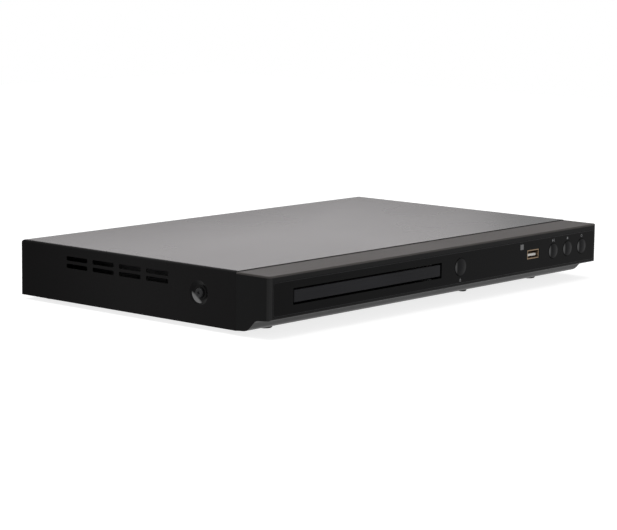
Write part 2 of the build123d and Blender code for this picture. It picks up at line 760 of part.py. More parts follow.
with BuildPart() as loader_frame:
    loader_mid = (loader_front + loader_back) / 2
    with BuildSketch(at_height(floor_z)):
        with Locations((tray_x, loader_mid)):
            Rectangle(2 * loader_half, loader_length)
    extrude(amount=loader_top - floor_z)
    with BuildSketch(at_height(loader_floor_z)):
        with Locations((tray_x, loader_mid)):
            Rectangle(2 * (loader_half - loader_wall), loader_length - 2 * loader_wall)
    extrude(amount=loader_top - loader_floor_z, mode=Mode.SUBTRACT)
    with BuildSketch(at_height(loader_mouth_z)):
        with Locations((tray_x, loader_front + loader_wall / 2)):
            Rectangle(2 * (loader_half - loader_wall), loader_wall)
    extrude(amount=loader_top - loader_mouth_z, mode=Mode.SUBTRACT)
    with BuildSketch(at_height(floor_z)):
        well_middle = front_y + (well_front + well_back) / 2
        with Locations((tray_x, well_middle)):
            Rectangle(2 * well_half, well_back - well_front)
    extrude(amount=loader_floor, mode=Mode.SUBTRACT)
    ledge_offset = loader_half - loader_wall - ledge_width / 2
    with BuildSketch(at_height(ledge_top - ledge_thickness)):
        for side in (-1, 1):
            with Locations((tray_x + side * ledge_offset, loader_mid)):
                Rectangle(ledge_width, loader_length)
    extrude(amount=ledge_thickness)
    with BuildSketch(at_height(tray_top + run_gap)):
        for side in (-1, 1):
            for guide_y in (loader_front + guide_length / 2, loader_back - guide_length):
                with Locations((tray_x + side * ledge_offset, guide_y)):
                    Rectangle(ledge_width, guide_length)
    extrude(amount=guide_thickness)
    with BuildSketch(at_height(loader_floor_z)):
        with Locations((drive_x, drive_y)):
            Circle(gear_post_radius)
    extrude(amount=tray_gear_z + tray_gear_thickness - run_gap - loader_floor_z)
    with BuildSketch(at_height(loader_floor_z)):
        with Locations((pulley_x, drive_y)):
            Circle(gear_post_radius)
    extrude(amount=pulley_z + pulley_height - loader_floor_z)
    with BuildSketch(at_height(loader_floor_z)):
        with Locations((drive_x, drive_y), (pulley_x, drive_y)):
            Circle(2 * gear_post_radius)
    extrude(amount=wheel_z - run_gap - loader_floor_z)
    with BuildSketch(at_height(floor_z)):
        for side in (-1, 1):
            bracket_x = tray_x + side * (well_half + 0.5 + pivot_bracket / 2)
            with Locations((bracket_x, front_y + pivot_setback)):
                Rectangle(pivot_bracket, bracket_depth)
    extrude(amount=pivot_z + bracket_height - floor_z)
    with BuildSketch(Plane.YZ.offset(tray_x)):
        with Locations((front_y + pivot_setback, pivot_z)):
            Circle(pivot_radius + bore_gap)
    extrude(amount=well_half + 1 + pivot_bracket, both=True, mode=Mode.SUBTRACT)

loader_frame.part.label = "loader_frame"
export_step(loader_frame.part, "parts/loader_frame.step")

# ============================================================= tray drive
# A small motor turns a belt, the belt a pulley with a pinion, and the pinion
# the wheel under the gear that meshes with the tray's rack.
wheel_teeth = 24
pinion_teeth = 12
hub_radius = 4.8
belt_size = 1.2
groove_depth = 1.0
pulley_radius = 12.0
motor_pulley_radius = 3.75
flange = 0.7
motor_radius = 10.2
motor_boss = 0.5
motor_height = pulley_z - run_gap - motor_boss - loader_floor_z
motor_shaft_radius = 1.0
motor_x = pulley_x + 44.0

with BuildPart() as drive_gear:
    with BuildSketch(Plane((drive_x, drive_y, wheel_z))):
        add(gear_outline(wheel_teeth, drive_module))
    extrude(amount=wheel_thickness)
    with BuildSketch(Plane((drive_x, drive_y, wheel_z))):
        Circle(hub_radius)
    extrude(amount=tray_gear_z - wheel_z)
    with BuildSketch(Plane((drive_x, drive_y, tray_gear_z))):
        add(gear_outline(drive_teeth, drive_module, 180.0))
    extrude(amount=tray_gear_thickness)
    with BuildSketch(Plane((drive_x, drive_y, wheel_z))):
        Circle(gear_post_radius + bore_gap)
    extrude(amount=tray_gear_z + tray_gear_thickness - wheel_z, mode=Mode.SUBTRACT)

drive_gear.part.label = "drive_gear"
export_step(drive_gear.part, "parts/drive_gear.step")

with BuildPart() as pulley_gear:
    with BuildSketch(Plane((pulley_x, drive_y, wheel_z))):
        add(gear_outline(pinion_teeth, drive_module, 180.0 + 180.0 / pinion_teeth))
    extrude(amount=pulley_z - wheel_z)
    with BuildSketch(Plane((pulley_x, drive_y, pulley_z))):
        Circle(pulley_radius)
    extrude(amount=pulley_height)
    with BuildSketch(Plane((pulley_x, drive_y, pulley_z + flange))):
        Circle(pulley_radius)
        Circle(pulley_radius - groove_depth, mode=Mode.SUBTRACT)
    extrude(amount=pulley_height - 2 * flange, mode=Mode.SUBTRACT)
    with BuildSketch(Plane((pulley_x, drive_y, wheel_z))):
        Circle(gear_post_radius + bore_gap)
    extrude(amount=pulley_z + pulley_height - wheel_z, mode=Mode.SUBTRACT)

pulley_gear.part.label = "pulley_gear"
export_step(pulley_gear.part, "parts/pulley_gear.step")

with BuildPart() as loading_motor:
    with BuildSketch(Plane((motor_x, drive_y, loader_floor_z))):
        Circle(motor_radius)
    extrude(amount=motor_height)
    chamfer(loading_motor.edges().group_by(Axis.Z)[-1], 0.8)
    with BuildSketch(Plane((motor_x, drive_y, loader_floor_z + motor_height))):
        Circle(3 * motor_shaft_radius)
    extrude(amount=motor_boss)
    with BuildSketch(Plane((motor_x, drive_y, loader_floor_z + motor_height / 2))):
        Circle(motor_shaft_radius + bore_gap)
    extrude(amount=motor_height, mode=Mode.SUBTRACT)

loading_motor.part.label = "loading_motor"
export_step(loading_motor.part, "parts/loading_motor.step")

with BuildPart() as motor_pulley:
    with BuildSketch(Plane((motor_x, drive_y, pulley_z))):
        Circle(motor_pulley_radius)
    extrude(amount=pulley_height)
    with BuildSketch(Plane((motor_x, drive_y, pulley_z + flange))):
        Circle(motor_pulley_radius)
        Circle(motor_pulley_radius - groove_depth, mode=Mode.SUBTRACT)
    extrude(amount=pulley_height - 2 * flange, mode=Mode.SUBTRACT)
    shaft_foot = loader_floor_z + motor_height / 2 + run_gap
    with BuildSketch(Plane((motor_x, drive_y, shaft_foot))):
        Circle(motor_shaft_radius)
    extrude(amount=pulley_z + pulley_height - shaft_foot)

motor_pulley.part.label = "motor_pulley"
export_step(motor_pulley.part, "parts/motor_pulley.step")

belt_gap = 0.2
with BuildPart() as loading_belt:
    with BuildSketch(at_height(pulley_z + (pulley_height - belt_size) / 2)):
        with Locations((pulley_x, drive_y)):
            Circle(pulley_radius - groove_depth + belt_gap + belt_size)
        with Locations((motor_x, drive_y)):
            Circle(motor_pulley_radius - groove_depth + belt_gap + belt_size)
        make_hull()
    extrude(amount=belt_size)
    with BuildSketch(at_height(pulley_z + (pulley_height - belt_size) / 2)):
        with Locations((pulley_x, drive_y)):
            Circle(pulley_radius - groove_depth + belt_gap)
        with Locations((motor_x, drive_y)):
            Circle(motor_pulley_radius - groove_depth + belt_gap)
        make_hull()
    extrude(amount=belt_size, mode=Mode.SUBTRACT)

loading_belt.part.label = "loading_belt"
export_step(loading_belt.part, "parts/loading_belt.step")

# ============================================================== disc lift
# The lift frame pivots at the back and carries the traverse plate on four
# rubber dampers. Two pins at its front ride in the cam slider's slots, and
# the slider lowers the whole deck before the tray runs out.
lift_floor = base_z + 10.6
lift_thickness = 2.4
lift_bar = 8.0
lift_front = front_y + spindle_setback - lift_reach
lift_back = front_y + pivot_setback + lift_tail
lift_front_wall = 2.5
lift_wall_half = 30.0
lift_drop_angle = 4.5
cam_pin_radius = 1.5
cam_pin_x = 22.0
cam_pin_z = pivot_z + 2.2
cam_pin_reach = 8.2
cam_travel = 22.0
cam_dwell = 3.0
cam_thickness = 2.4
cam_clear = 0.3
damper_radius = 3.2
damper_height = 2.0
damper_inset = 8.0        # from the disc centre and from the pivot, forwards
damper_setbacks = (spindle_setback - damper_inset, pivot_setback - damper_inset)
plate_z = lift_floor + lift_thickness + damper_height
plate_thickness = 1.2
plate_top = plate_z + plate_thickness
pivot_y = front_y + pivot_setback

with BuildPart() as lift_frame:
    lift_mid = (lift_front + lift_back) / 2
    with BuildSketch(at_height(lift_floor)):
        with Locations((tray_x, lift_mid)):
            Rectangle(2 * lift_half, lift_back - lift_front)
            Rectangle(2 * (lift_half - lift_bar), lift_back - lift_front - 2 * lift_bar, mode=Mode.SUBTRACT)
    extrude(amount=lift_thickness)
    with BuildSketch(at_height(lift_floor)):
        with Locations((tray_x, lift_front + lift_front_wall / 2)):
            Rectangle(2 * lift_wall_half, lift_front_wall)
    extrude(amount=cam_pin_z + 2.0 - lift_floor)
    with BuildSketch(Plane.XZ.offset(-lift_front)):
        with Locations((tray_x - cam_pin_x, cam_pin_z), (tray_x + cam_pin_x, cam_pin_z)):
            Circle(cam_pin_radius)
    extrude(amount=cam_pin_reach)
    for side in (-1, 1):
        with BuildSketch(Plane.YZ.offset(tray_x + side * (lift_half - 1.0))):
            with Locations((pivot_y, pivot_z)):
                Circle(pivot_radius)
        extrude(amount=side * (1.0 + 0.5 + well_half - lift_half + pivot_bracket))

lift_frame.part.label = "lift_frame"
export_step(lift_frame.part, "parts/lift_frame.step")

cam_y = lift_front - cam_pin_reach + 1.0
cam_drop = (pivot_y - cam_y - cam_thickness / 2) * sin(radians(lift_drop_angle))
cam_half = 34.0
cam_bottom = loader_floor_z + run_gap
cam_top = ledge_top - ledge_thickness + 0.2
cam_slot = cam_pin_radius + cam_clear

with BuildPart() as cam_slider:
    with BuildSketch(Plane.XZ.offset(-cam_y)):
        cam_middle = tray_x - cam_travel / 2 + 4.0
        with Locations((cam_middle, (cam_bottom + cam_top) / 2)):
            Rectangle(2 * cam_half + cam_travel, cam_top - cam_bottom)
        ramp = hypot(cam_travel, cam_drop)
        for pin_x in (tray_x - cam_pin_x, tray_x + cam_pin_x):
            with Locations((pin_x - cam_travel / 2, cam_pin_z - cam_drop / 2)):
                SlotCenterToCenter(
                    ramp,
                    2 * cam_slot,
                    rotation=degrees(atan(cam_drop / cam_travel)),
                    mode=Mode.SUBTRACT,
                )
            with Locations((pin_x + cam_dwell / 2, cam_pin_z)):
                SlotCenterToCenter(cam_dwell, 2 * cam_slot, mode=Mode.SUBTRACT)
            with Locations((pin_x - cam_travel - cam_dwell / 2, cam_pin_z - cam_drop)):
                SlotCenterToCenter(cam_dwell, 2 * cam_slot, mode=Mode.SUBTRACT)
    extrude(amount=-cam_thickness)

cam_slider.part.label = "cam_slider"
export_step(cam_slider.part, "parts/cam_slider.step")

damper_places = [
    (tray_x + side * (lift_half - lift_bar / 2), front_y + setback)
    for side in (-1, 1)
    for setback in damper_setbacks
]

with BuildPart() as rubber_dampers:
    with BuildSketch(at_height(lift_floor + lift_thickness)):
        with Locations(*damper_places):
            Circle(damper_radius)
    extrude(amount=damper_height)

rubber_dampers.part.label = "rubber_dampers"
export_step(rubber_dampers.part, "parts/rubber_dampers.step")

# Traverse plate: pressed steel, with the opening that the pickup runs in.
plate_half = 40.0
plate_front = lift_front + 5.0
plate_back = pivot_y
plate_ear = 10.0
pickup_half = 25.8
window_half = 27.0
lens_y = disc_y + lens_start
pickup_back = lens_y + pickup_rear
pickup_front = pickup_back - pickup_length
window_front = pickup_front - 1.0
window_back = front_y + window_setback
rack_back = pickup_back + 8.0
rack_front = rack_back - pickup_travel - 6.0
sled_module = 0.6
sled_small_teeth = 16
sled_wheel_teeth = 36
sled_pinion_teeth = 12
sled_small_pitch = sled_small_teeth * sled_module / 2
sled_wheel_pitch = sled_wheel_teeth * sled_module / 2
sled_pinion_pitch = sled_pinion_teeth * sled_module / 2
rack_bar = 2.2            # pickup's side to the rack's roots
sled_rack_x = tray_x + pickup_half + rack_bar + dedendum * sled_module
sled_x = sled_rack_x + sled_small_pitch
sled_y = rack_back - 4.0
sled_hub_radius = 3.0
sled_motor_y = sled_y + sled_wheel_pitch + sled_pinion_pitch
sled_motor_radius = 6.0
sled_motor_height = 8.0
sled_wheel_thickness = 1.4
sled_wheel_z = plate_z - run_gap - sled_wheel_thickness
holder_wall = 1.5
sled_motor_top = sled_wheel_z - run_gap

with BuildPart() as traverse_plate:
    with BuildSketch(at_height(plate_z)):
        with Locations((tray_x, (plate_front + plate_back) / 2)):
            Rectangle(2 * plate_half, plate_back - plate_front)
        for setback in damper_setbacks:
            with Locations((tray_x, front_y + setback)):
                Rectangle(2 * lift_half, plate_ear)
        with Locations((tray_x, (window_front + window_back) / 2)):
            Rectangle(2 * window_half, window_back - window_front, mode=Mode.SUBTRACT)
        with Locations((sled_x, sled_y)):
            Circle(sled_hub_radius + bore_gap, mode=Mode.SUBTRACT)
    extrude(amount=plate_thickness)
    with BuildSketch(at_height(sled_motor_top - sled_motor_height / 2)):
        with Locations((sled_x, sled_motor_y)):
            Circle(sled_motor_radius + seat_gap + holder_wall)
            Circle(sled_motor_radius + seat_gap, mode=Mode.SUBTRACT)
        with Locations((sled_x, sled_motor_y - sled_motor_radius)):
            Rectangle(4 * sled_motor_radius, 2 * sled_motor_radius + 2.0, mode=Mode.SUBTRACT)
    extrude(amount=plate_z - sled_motor_top + sled_motor_height / 2)

traverse_plate.part.label = "traverse_plate"
export_step(traverse_plate.part, "parts/traverse_plate.step")

# ========================================================= spindle and disc
# Flat motor on the plate, and the turntable on its bell.
disc_lift = 2.7
turntable_radius = 14.5
turntable_z = recess_z + disc_lift
bell_radius = 11.5
bell_wall = 0.8
bell_z = plate_top + 1.3
bell_height = 4.1
base_disc_radius = 14.0
base_disc_thickness = 1.0
stator_radius = 9.4
spindle_shaft_radius = 1.0
cone_radius = 7.4
cone_top_radius = 6.2
cone_height = 2.0
rubber_ring = 0.6

with BuildPart() as spindle_motor:
    with BuildSketch(Plane((tray_x, disc_y, plate_top))):
        Circle(base_disc_radius)
    extrude(amount=base_disc_thickness)
    with BuildSketch(Plane((tray_x, disc_y, plate_top + base_disc_thickness))):
        Circle(stator_radius)
    extrude(amount=bell_height - bell_wall)
    with BuildSketch(Plane((tray_x, disc_y, plate_top + 0.5))):
        Circle(spindle_shaft_radius + bore_gap)
    extrude(amount=bell_height + base_disc_thickness, mode=Mode.SUBTRACT)

spindle_motor.part.label = "spindle_motor"
export_step(spindle_motor.part, "parts/spindle_motor.step")

with BuildPart() as spindle_rotor:
    with BuildSketch(Plane((tray_x, disc_y, bell_z))):
        Circle(bell_radius)
    extrude(amount=bell_height)
    with BuildSketch(Plane((tray_x, disc_y, bell_z))):
        Circle(bell_radius - bell_wall)
    extrude(amount=bell_height - bell_wall, mode=Mode.SUBTRACT)
    with BuildSketch(Plane((tray_x, disc_y, plate_top + 0.5 + run_gap))):
        Circle(spindle_shaft_radius)
    extrude(amount=bell_z + bell_height - plate_top - 0.5 - run_gap)

spindle_rotor.part.label = "spindle_rotor"
export_step(spindle_rotor.part, "parts/spindle_rotor.step")

with BuildPart() as turntable:
    with BuildSketch(Plane.XZ.offset(-disc_y)):
        with BuildLine():
            rotor_top = bell_z + bell_height
            Polyline(
                (tray_x, rotor_top),
                (tray_x + turntable_radius - 3.0, rotor_top),
                (tray_x + turntable_radius, turntable_z - 2.2),
                (tray_x + turntable_radius, turntable_z),
                (tray_x + cone_radius, turntable_z),
                (tray_x + cone_top_radius, turntable_z + cone_height),
                (tray_x, turntable_z + cone_height),
                close=True,
            )
        make_face()
    revolve(axis=Axis((tray_x, disc_y, 0), (0, 0, 1)))
    with BuildSketch(Plane((tray_x, disc_y, turntable_z))):
        Circle(turntable_radius - 2.0)
        Circle(cone_radius + 1.0, mode=Mode.SUBTRACT)
    extrude(amount=-rubber_ring, mode=Mode.SUBTRACT)

turntable.part.label = "turntable"
export_step(turntable.part, "parts/turntable.step")

# ================================================================= clamper
# Disc that floats in a bridge over the tray, and the magnet in it that pulls
# it down onto the turntable.
disc_thickness = 1.2
clamper_gap = 0.4
clamper_radius = 13.8
clamper_flange_radius = 17.4
clamper_flange = 1.2
bridge_thickness = 1.5
bridge_depth = 46.0
bridge_clear = 0.7
clamper_z = turntable_z + disc_thickness + clamper_gap
clamper_flange_z = loader_top + bridge_thickness + 0.4
magnet_radius = 9.0
magnet_height = 2.0

with BuildPart() as clamper_bridge:
    with BuildSketch(at_height(loader_top)) as bridge_outline:
        with Locations((tray_x, disc_y)):
            Rectangle(2 * loader_half, bridge_depth)
        fillet(bridge_outline.vertices(), 3.0)
        with Locations((tray_x, disc_y)):
            Circle(clamper_radius + bridge_clear, mode=Mode.SUBTRACT)
        for side in (-1, 1):
            with Locations((tray_x + side * 42.0, disc_y)):
                SlotOverall(26.0, 10.0, rotation=90, mode=Mode.SUBTRACT)
    extrude(amount=bridge_thickness)

clamper_bridge.part.label = "clamper_bridge"
export_step(clamper_bridge.part, "parts/clamper_bridge.step")

with BuildPart() as clamper:
    with BuildSketch(Plane((tray_x, disc_y, clamper_z))):
        Circle(clamper_radius)
    extrude(amount=clamper_flange_z + clamper_flange - clamper_z)
    with BuildSketch(Plane((tray_x, disc_y, clamper_flange_z))):
        Circle(clamper_flange_radius)
    extrude(amount=clamper_flange)
    with BuildSketch(Plane((tray_x, disc_y, clamper_z))):
        Circle(cone_radius + 0.7)
    extrude(amount=cone_height + 0.2, mode=Mode.SUBTRACT)
    with BuildSketch(Plane((tray_x, disc_y, clamper_flange_z + clamper_flange))):
        Circle(magnet_radius + seat_gap)
    extrude(amount=-magnet_height, mode=Mode.SUBTRACT)

clamper.part.label = "clamper"
export_step(clamper.part, "parts/clamper.step")

with BuildPart() as clamper_magnet:
    with BuildSketch(Plane((tray_x, disc_y, clamper_flange_z + clamper_flange - magnet_height))):
        Circle(magnet_radius)
        Circle(magnet_radius / 2, mode=Mode.SUBTRACT)
    extrude(amount=magnet_height)

clamper_magnet.part.label = "clamper_magnet"
export_step(clamper_magnet.part, "parts/clamper_magnet.step")

# ================================================================== pickup
# Optical block on two polished shafts, driven by a rack along its side.
shaft_radius = 1.5
shaft_offset = 23.0
shaft_front = window_front - 7.0
shaft_back = plate_back - 1.0
shaft_z = plate_top + shaft_radius
pickup_bottom = plate_z
pickup_top = plate_top + 3.8
optics_half = 19.0
optics_depth = 5.4
lens_radius = 2.6
holder_size = 9.0
cover_size = 18.0
cover_rise = 1.6
lens_rise = 0.5
lens_travel = 0.4
rack_z = plate_top + run_gap
rack_thickness = 1.2

with BuildPart() as guide_shafts:
    with BuildSketch(Plane.XZ.offset(-shaft_front)):
        with Locations((tray_x - shaft_offset, shaft_z), (tray_x + shaft_offset, shaft_z)):
            Circle(shaft_radius)
    extrude(amount=shaft_front - shaft_back)

guide_shafts.part.label = "guide_shafts"
export_step(guide_shafts.part, "parts/guide_shafts.step")

with BuildPart() as pickup_body:
    pickup_mid = pickup_front + pickup_length / 2
    with BuildSketch(at_height(pickup_bottom)):
        with Locations((tray_x, pickup_mid)):
            Rectangle(2 * pickup_half, pickup_length)
    extrude(amount=pickup_top - pickup_bottom)
    with BuildSketch(at_height(pickup_bottom - optics_depth)):
        with Locations((tray_x, pickup_mid)):
            Rectangle(2 * optics_half, pickup_length)
    extrude(amount=optics_depth)
    with BuildSketch(Plane.XZ.offset(-pickup_front)):
        with Locations((tray_x - shaft_offset, shaft_z), (tray_x + shaft_offset, shaft_z)):
            Circle(shaft_radius + bore_gap)
        with Locations((tray_x - pickup_half, shaft_z)):
            Rectangle(2 * (pickup_half - shaft_offset), 2 * (shaft_radius + bore_gap))
    extrude(amount=-pickup_length, mode=Mode.SUBTRACT)
    with BuildSketch(at_height(pickup_top)):
        with Locations((tray_x, lens_y)):
            Rectangle(cover_size, 14.0)
            Rectangle(holder_size + 1.0, holder_size + 1.0, mode=Mode.SUBTRACT)
    extrude(amount=cover_rise)
    with BuildSketch(at_height(rack_z)):
        with Locations((tray_x + pickup_half + rack_bar / 2 - 0.5, (rack_front + rack_back) / 2)):
            Rectangle(rack_bar + 1.0, rack_back - rack_front)
        sled_step = pi * sled_module
        teeth_ahead = int((sled_y - rack_front) / sled_step)
        teeth_behind = int((rack_back - sled_y) / sled_step)
        for tooth in range(-teeth_ahead, teeth_behind):
            with Locations((sled_rack_x, sled_y + (tooth + 0.5) * sled_step)):
                add(rack_tooth(sled_module))
    extrude(amount=rack_thickness)

pickup_body.part.label = "pickup_body"
export_step(pickup_body.part, "parts/pickup_body.step")

with BuildPart() as objective_lens:
    lens_floor = pickup_top + lens_rise
    with BuildSketch(at_height(lens_floor)):
        with Locations((tray_x, lens_y)):
            Rectangle(holder_size, holder_size)
    extrude(amount=cover_rise - lens_rise + 0.4)
    with BuildSketch(at_height(lens_floor)):
        with Locations((tray_x, lens_y)):
            Circle(lens_radius)
    extrude(amount=cover_rise - lens_rise + 0.9)
    chamfer(objective_lens.edges().group_by(Axis.Z)[-1], 0.3)

objective_lens.part.label = "objective_lens"
export_step(objective_lens.part, "parts/objective_lens.step")

with BuildPart() as sled_gear:
    with BuildSketch(Plane((sled_x, sled_y, sled_wheel_z))):
        add(gear_outline(sled_wheel_teeth, sled_module, 90.0))
    extrude(amount=sled_wheel_thickness)
    with BuildSketch(Plane((sled_x, sled_y, sled_wheel_z))):
        Circle(sled_hub_radius)
    extrude(amount=rack_z - sled_wheel_z)
    with BuildSketch(Plane((sled_x, sled_y, rack_z))):
        add(gear_outline(sled_small_teeth, sled_module, 180.0))
    extrude(amount=rack_thickness)

sled_gear.part.label = "sled_gear"
export_step(sled_gear.part, "parts/sled_gear.step")

sled_shaft_radius = 0.8
with BuildPart() as sled_motor:
    with BuildSketch(Plane((sled_x, sled_motor_y, sled_motor_top - sled_motor_height))):
        Circle(sled_motor_radius)
    extrude(amount=sled_motor_height)
    with BuildSketch(Plane((sled_x, sled_motor_y, sled_motor_top))):
        Circle(sled_shaft_radius + bore_gap)
    extrude(amount=-sled_motor_height / 2, mode=Mode.SUBTRACT)

sled_motor.part.label = "sled_motor"
export_step(sled_motor.part, "parts/sled_motor.step")

with BuildPart() as sled_pinion:
    with BuildSketch(Plane((sled_x, sled_motor_y, sled_wheel_z))):
        add(gear_outline(sled_pinion_teeth, sled_module, -90.0 + 180.0 / sled_pinion_teeth))
    extrude(amount=sled_wheel_thickness)
    with BuildSketch(Plane((sled_x, sled_motor_y, sled_wheel_z))):
        Circle(sled_shaft_radius)
    extrude(amount=run_gap - sled_motor_height / 2)

sled_pinion.part.label = "sled_pinion"
export_step(sled_pinion.part, "parts/sled_pinion.step")

# ============================================================ power supply
# Board on four standoffs: inlet at its back edge, then fuse, choke,
# reservoir capacitor, transformer and the low-voltage side.
core = (26.0, 22.0, 20.0)
winding_radius = 9.5

with BuildPart() as power_board:
    with BuildSketch(at_height(board_z)):
        with Locations((power_x, power_y)):
            Rectangle(power_width, power_depth)
    extrude(amount=board_thickness)

power_board.part.label = "power_board"
export_step(power_board.part, "parts/power_board.step")

with BuildPart() as mains_inlet:
    inlet_z = base_z + inlet_level
    inlet_back = back_y + inlet_proud
    with BuildSketch(Plane.XZ.offset(-inlet_back)):
        with Locations((inlet_x, inlet_z)):
            Rectangle(*inlet_body)
    extrude(amount=inlet_depth)
    fillet(mains_inlet.edges().filter_by(Axis.Y), 1.5)
    with BuildSketch(Plane.XZ.offset(-inlet_back)):
        with Locations((inlet_x, inlet_z)):
            SlotOverall(*inlet_mouth)
    extrude(amount=inlet_mouth_depth, mode=Mode.SUBTRACT)
    with BuildSketch(at_height(board_top)):
        with Locations((inlet_x, inlet_back - inlet_depth + 4.0)):
            Rectangle(inlet_body[0], 8.0)
    extrude(amount=inlet_z - inlet_body[1] / 2 + 2.0 - board_top)

mains_inlet.part.label = "mains_inlet"
export_step(mains_inlet.part, "parts/mains_inlet.step")

with BuildPart() as inlet_pins:
    with BuildSketch(Plane.XZ.offset(-(inlet_back - inlet_mouth_depth))):
        for side in (-1, 1):
            with Locations((inlet_x + side * inlet_pin_pitch / 2, inlet_z)):
                Circle(inlet_pin_radius)
    extrude(amount=-inlet_pin_length)
    chamfer(inlet_pins.edges().group_by(Axis.Y)[-1], inlet_pin_radius / 2)

inlet_pins.part.label = "inlet_pins"
export_step(inlet_pins.part, "parts/inlet_pins.step")

transformer_y = power_y - 16.0
with BuildPart() as power_coils:
    with BuildSketch(at_height(board_top)):
        with Locations((power_x, transformer_y)):
            Rectangle(core[0], core[1])
    extrude(amount=3.0)
    with BuildSketch(at_height(board_top + 3.0)):
        with Locations((power_x, transformer_y)):
            Circle(winding_radius)
    extrude(amount=core[2] - 6.0)
    with BuildSketch(at_height(board_top + 3.0)):
        with Locations((power_x - core[0] / 2 + 2.5, transformer_y), (power_x + core[0] / 2 - 2.5, transformer_y)):
            Rectangle(5.0, 14.0)
    extrude(amount=core[2] - 3.0)
    with BuildSketch(at_height(board_top + core[2] - 3.0)):
        with Locations((power_x, transformer_y)):
            Rectangle(core[0], 14.0)
    extrude(amount=3.0)

    with BuildSketch(at_height(board_top)) as choke:
        with Locations((power_x + 12.0, power_y + 14.0)):
            Rectangle(16.0, 12.0)
        fillet(choke.vertices(), 2.0)
    extrude(amount=14.0)

power_coils.part.label = "power_coils"
export_step(power_coils.part, "parts/power_coils.step")

capacitors = (
    (power_x - 15.0, power_y + 14.0, 8.0, 21.0),
    (power_x - 17.0, power_y - 34.0, 4.0, 14.0),
    (power_x - 7.0, power_y - 34.0, 4.0, 14.0),
    (power_x + 3.0, power_y - 34.0, 4.0, 11.0),
)
with BuildPart() as power_capacitors:
    for cap_x, cap_y, cap_radius, cap_height in capacitors:
        with Locations((cap_x, cap_y, board_top + cap_height / 2)):
            Cylinder(cap_radius, cap_height)
    chamfer(power_capacitors.edges().filter_by(lambda e: e.center().Z > board_top + 1), 0.5)

power_capacitors.part.label = "power_capacitors"
export_step(power_capacitors.part, "parts/power_capacitors.step")

fin_count = 6
fin_pitch = 3.0
with BuildPart() as power_heat_sink:
    sink_x = power_x + 22.0
    sink_y = transformer_y
    with BuildSketch(at_height(board_top)):
        with Locations((sink_x, sink_y)):
            Rectangle(2.0, fin_count * fin_pitch)
            with GridLocations(1.0, fin_pitch, 1, fin_count):
                with Locations((1.5, 0)):
                    Rectangle(4.0, 1.0)
    extrude(amount=20.0)

power_heat_sink.part.label = "power_heat_sink"
export_step(power_heat_sink.part, "parts/power_heat_sink.step")

# ============================================================== main board
with BuildPart() as main_board:
    with BuildSketch(at_height(board_z)):
        with Locations((main_x, main_y)):
            Rectangle(main_width, main_depth)
    extrude(amount=board_thickness)

main_board.part.label = "main_board"
export_step(main_board.part, "parts/main_board.step")

decoder_size = 20.0
decoder_height = 1.6
with BuildPart() as board_chips:
    with BuildSketch(at_height(board_top)):
        with Locations((main_x, main_y - 10.0)):
            Rectangle(decoder_size, decoder_size)
        with Locations((main_x + 26.0, main_y - 10.0)):
            Rectangle(10.0, 18.0)
        with Locations((main_x - 26.0, main_y - 14.0)):
            Rectangle(14.0, 10.0)
    extrude(amount=decoder_height)

board_chips.part.label = "board_chips"
export_step(board_chips.part, "parts/board_chips.step")

with BuildPart() as decoder_heat_sink:
    with BuildSketch(at_height(board_top + decoder_height)):
        with Locations((main_x, main_y - 10.0)):
            Rectangle(decoder_size, decoder_size)
    extrude(amount=2.0)
    with BuildSketch(at_height(board_top + decoder_height + 2.0)):
        with Locations((main_x, main_y - 10.0)):
            with GridLocations(fin_pitch, 1.0, fin_count, 1):
                Rectangle(1.0, decoder_size)
    extrude(amount=8.0)

decoder_heat_sink.part.label = "decoder_heat_sink"
export_step(decoder_heat_sink.part, "parts/decoder_heat_sink.step")

# Block of phono jacks: one moulding on the board, with a plated barrel for
# each jack that passes through the rear panel.
jack_block_width = jack_columns * jack_pitch
jack_block_height = jack_level + base_z + jack_row_pitch / 2 + 5.6 - board_top
with BuildPart() as jack_block:
    with BuildSketch(Plane.XZ.offset(-pan_back + seat_gap)):
        with Locations((jack_x, board_top + jack_block_height / 2)):
            Rectangle(jack_block_width, jack_block_height)
    extrude(amount=jack_body_depth)
    with BuildSketch(Plane.XZ.offset(-pan_back + seat_gap)):
        with Locations((jack_x, base_z + jack_level)):
            with GridLocations(jack_pitch, jack_row_pitch, jack_columns, jack_rows):
                Circle(jack_collar_radius)
    extrude(amount=-seat_gap - 2 * sheet)

jack_block.part.label = "jack_block"
export_step(jack_block.part, "parts/jack_block.step")

with BuildPart() as jack_barrels:
    with BuildSketch(Plane.XZ.offset(-pan_back - 2 * sheet)):
        with Locations((jack_x, base_z + jack_level)):
            with GridLocations(jack_pitch, jack_row_pitch, jack_columns, jack_rows):
                Circle(jack_barrel_radius)
                Circle(jack_hole_radius, mode=Mode.SUBTRACT)
    extrude(amount=-jack_reach)
    chamfer(jack_barrels.edges().group_by(Axis.Y)[-1], 0.4)

jack_barrels.part.label = "jack_barrels"
export_step(jack_barrels.part, "parts/jack_barrels.step")

with BuildPart() as hdmi_socket:
    hdmi_back = back_y - sheet
    hdmi_z = board_top + hdmi_shell[1] / 2
    with BuildSketch(Plane.XZ.offset(-hdmi_back)):
        with Locations((hdmi_x, hdmi_z)):
            RectangleRounded(*hdmi_shell, 0.8)
    extrude(amount=hdmi_depth)
    with BuildSketch(Plane.XZ.offset(-hdmi_back)):
        with Locations((hdmi_x, hdmi_z)):
            RectangleRounded(hdmi_shell[0] - 2 * hdmi_wall, hdmi_shell[1] - 2 * hdmi_wall, 0.4)
    extrude(amount=hdmi_depth - 1.5, mode=Mode.SUBTRACT)
    with BuildSketch(Plane.XZ.offset(-hdmi_back + 1.5)):
        with Locations((hdmi_x, hdmi_z)):
            Rectangle(*hdmi_tongue)
    extrude(amount=hdmi_depth - 1.5 - 1.0)

hdmi_socket.part.label = "hdmi_socket"
export_step(hdmi_socket.part, "parts/hdmi_socket.step")

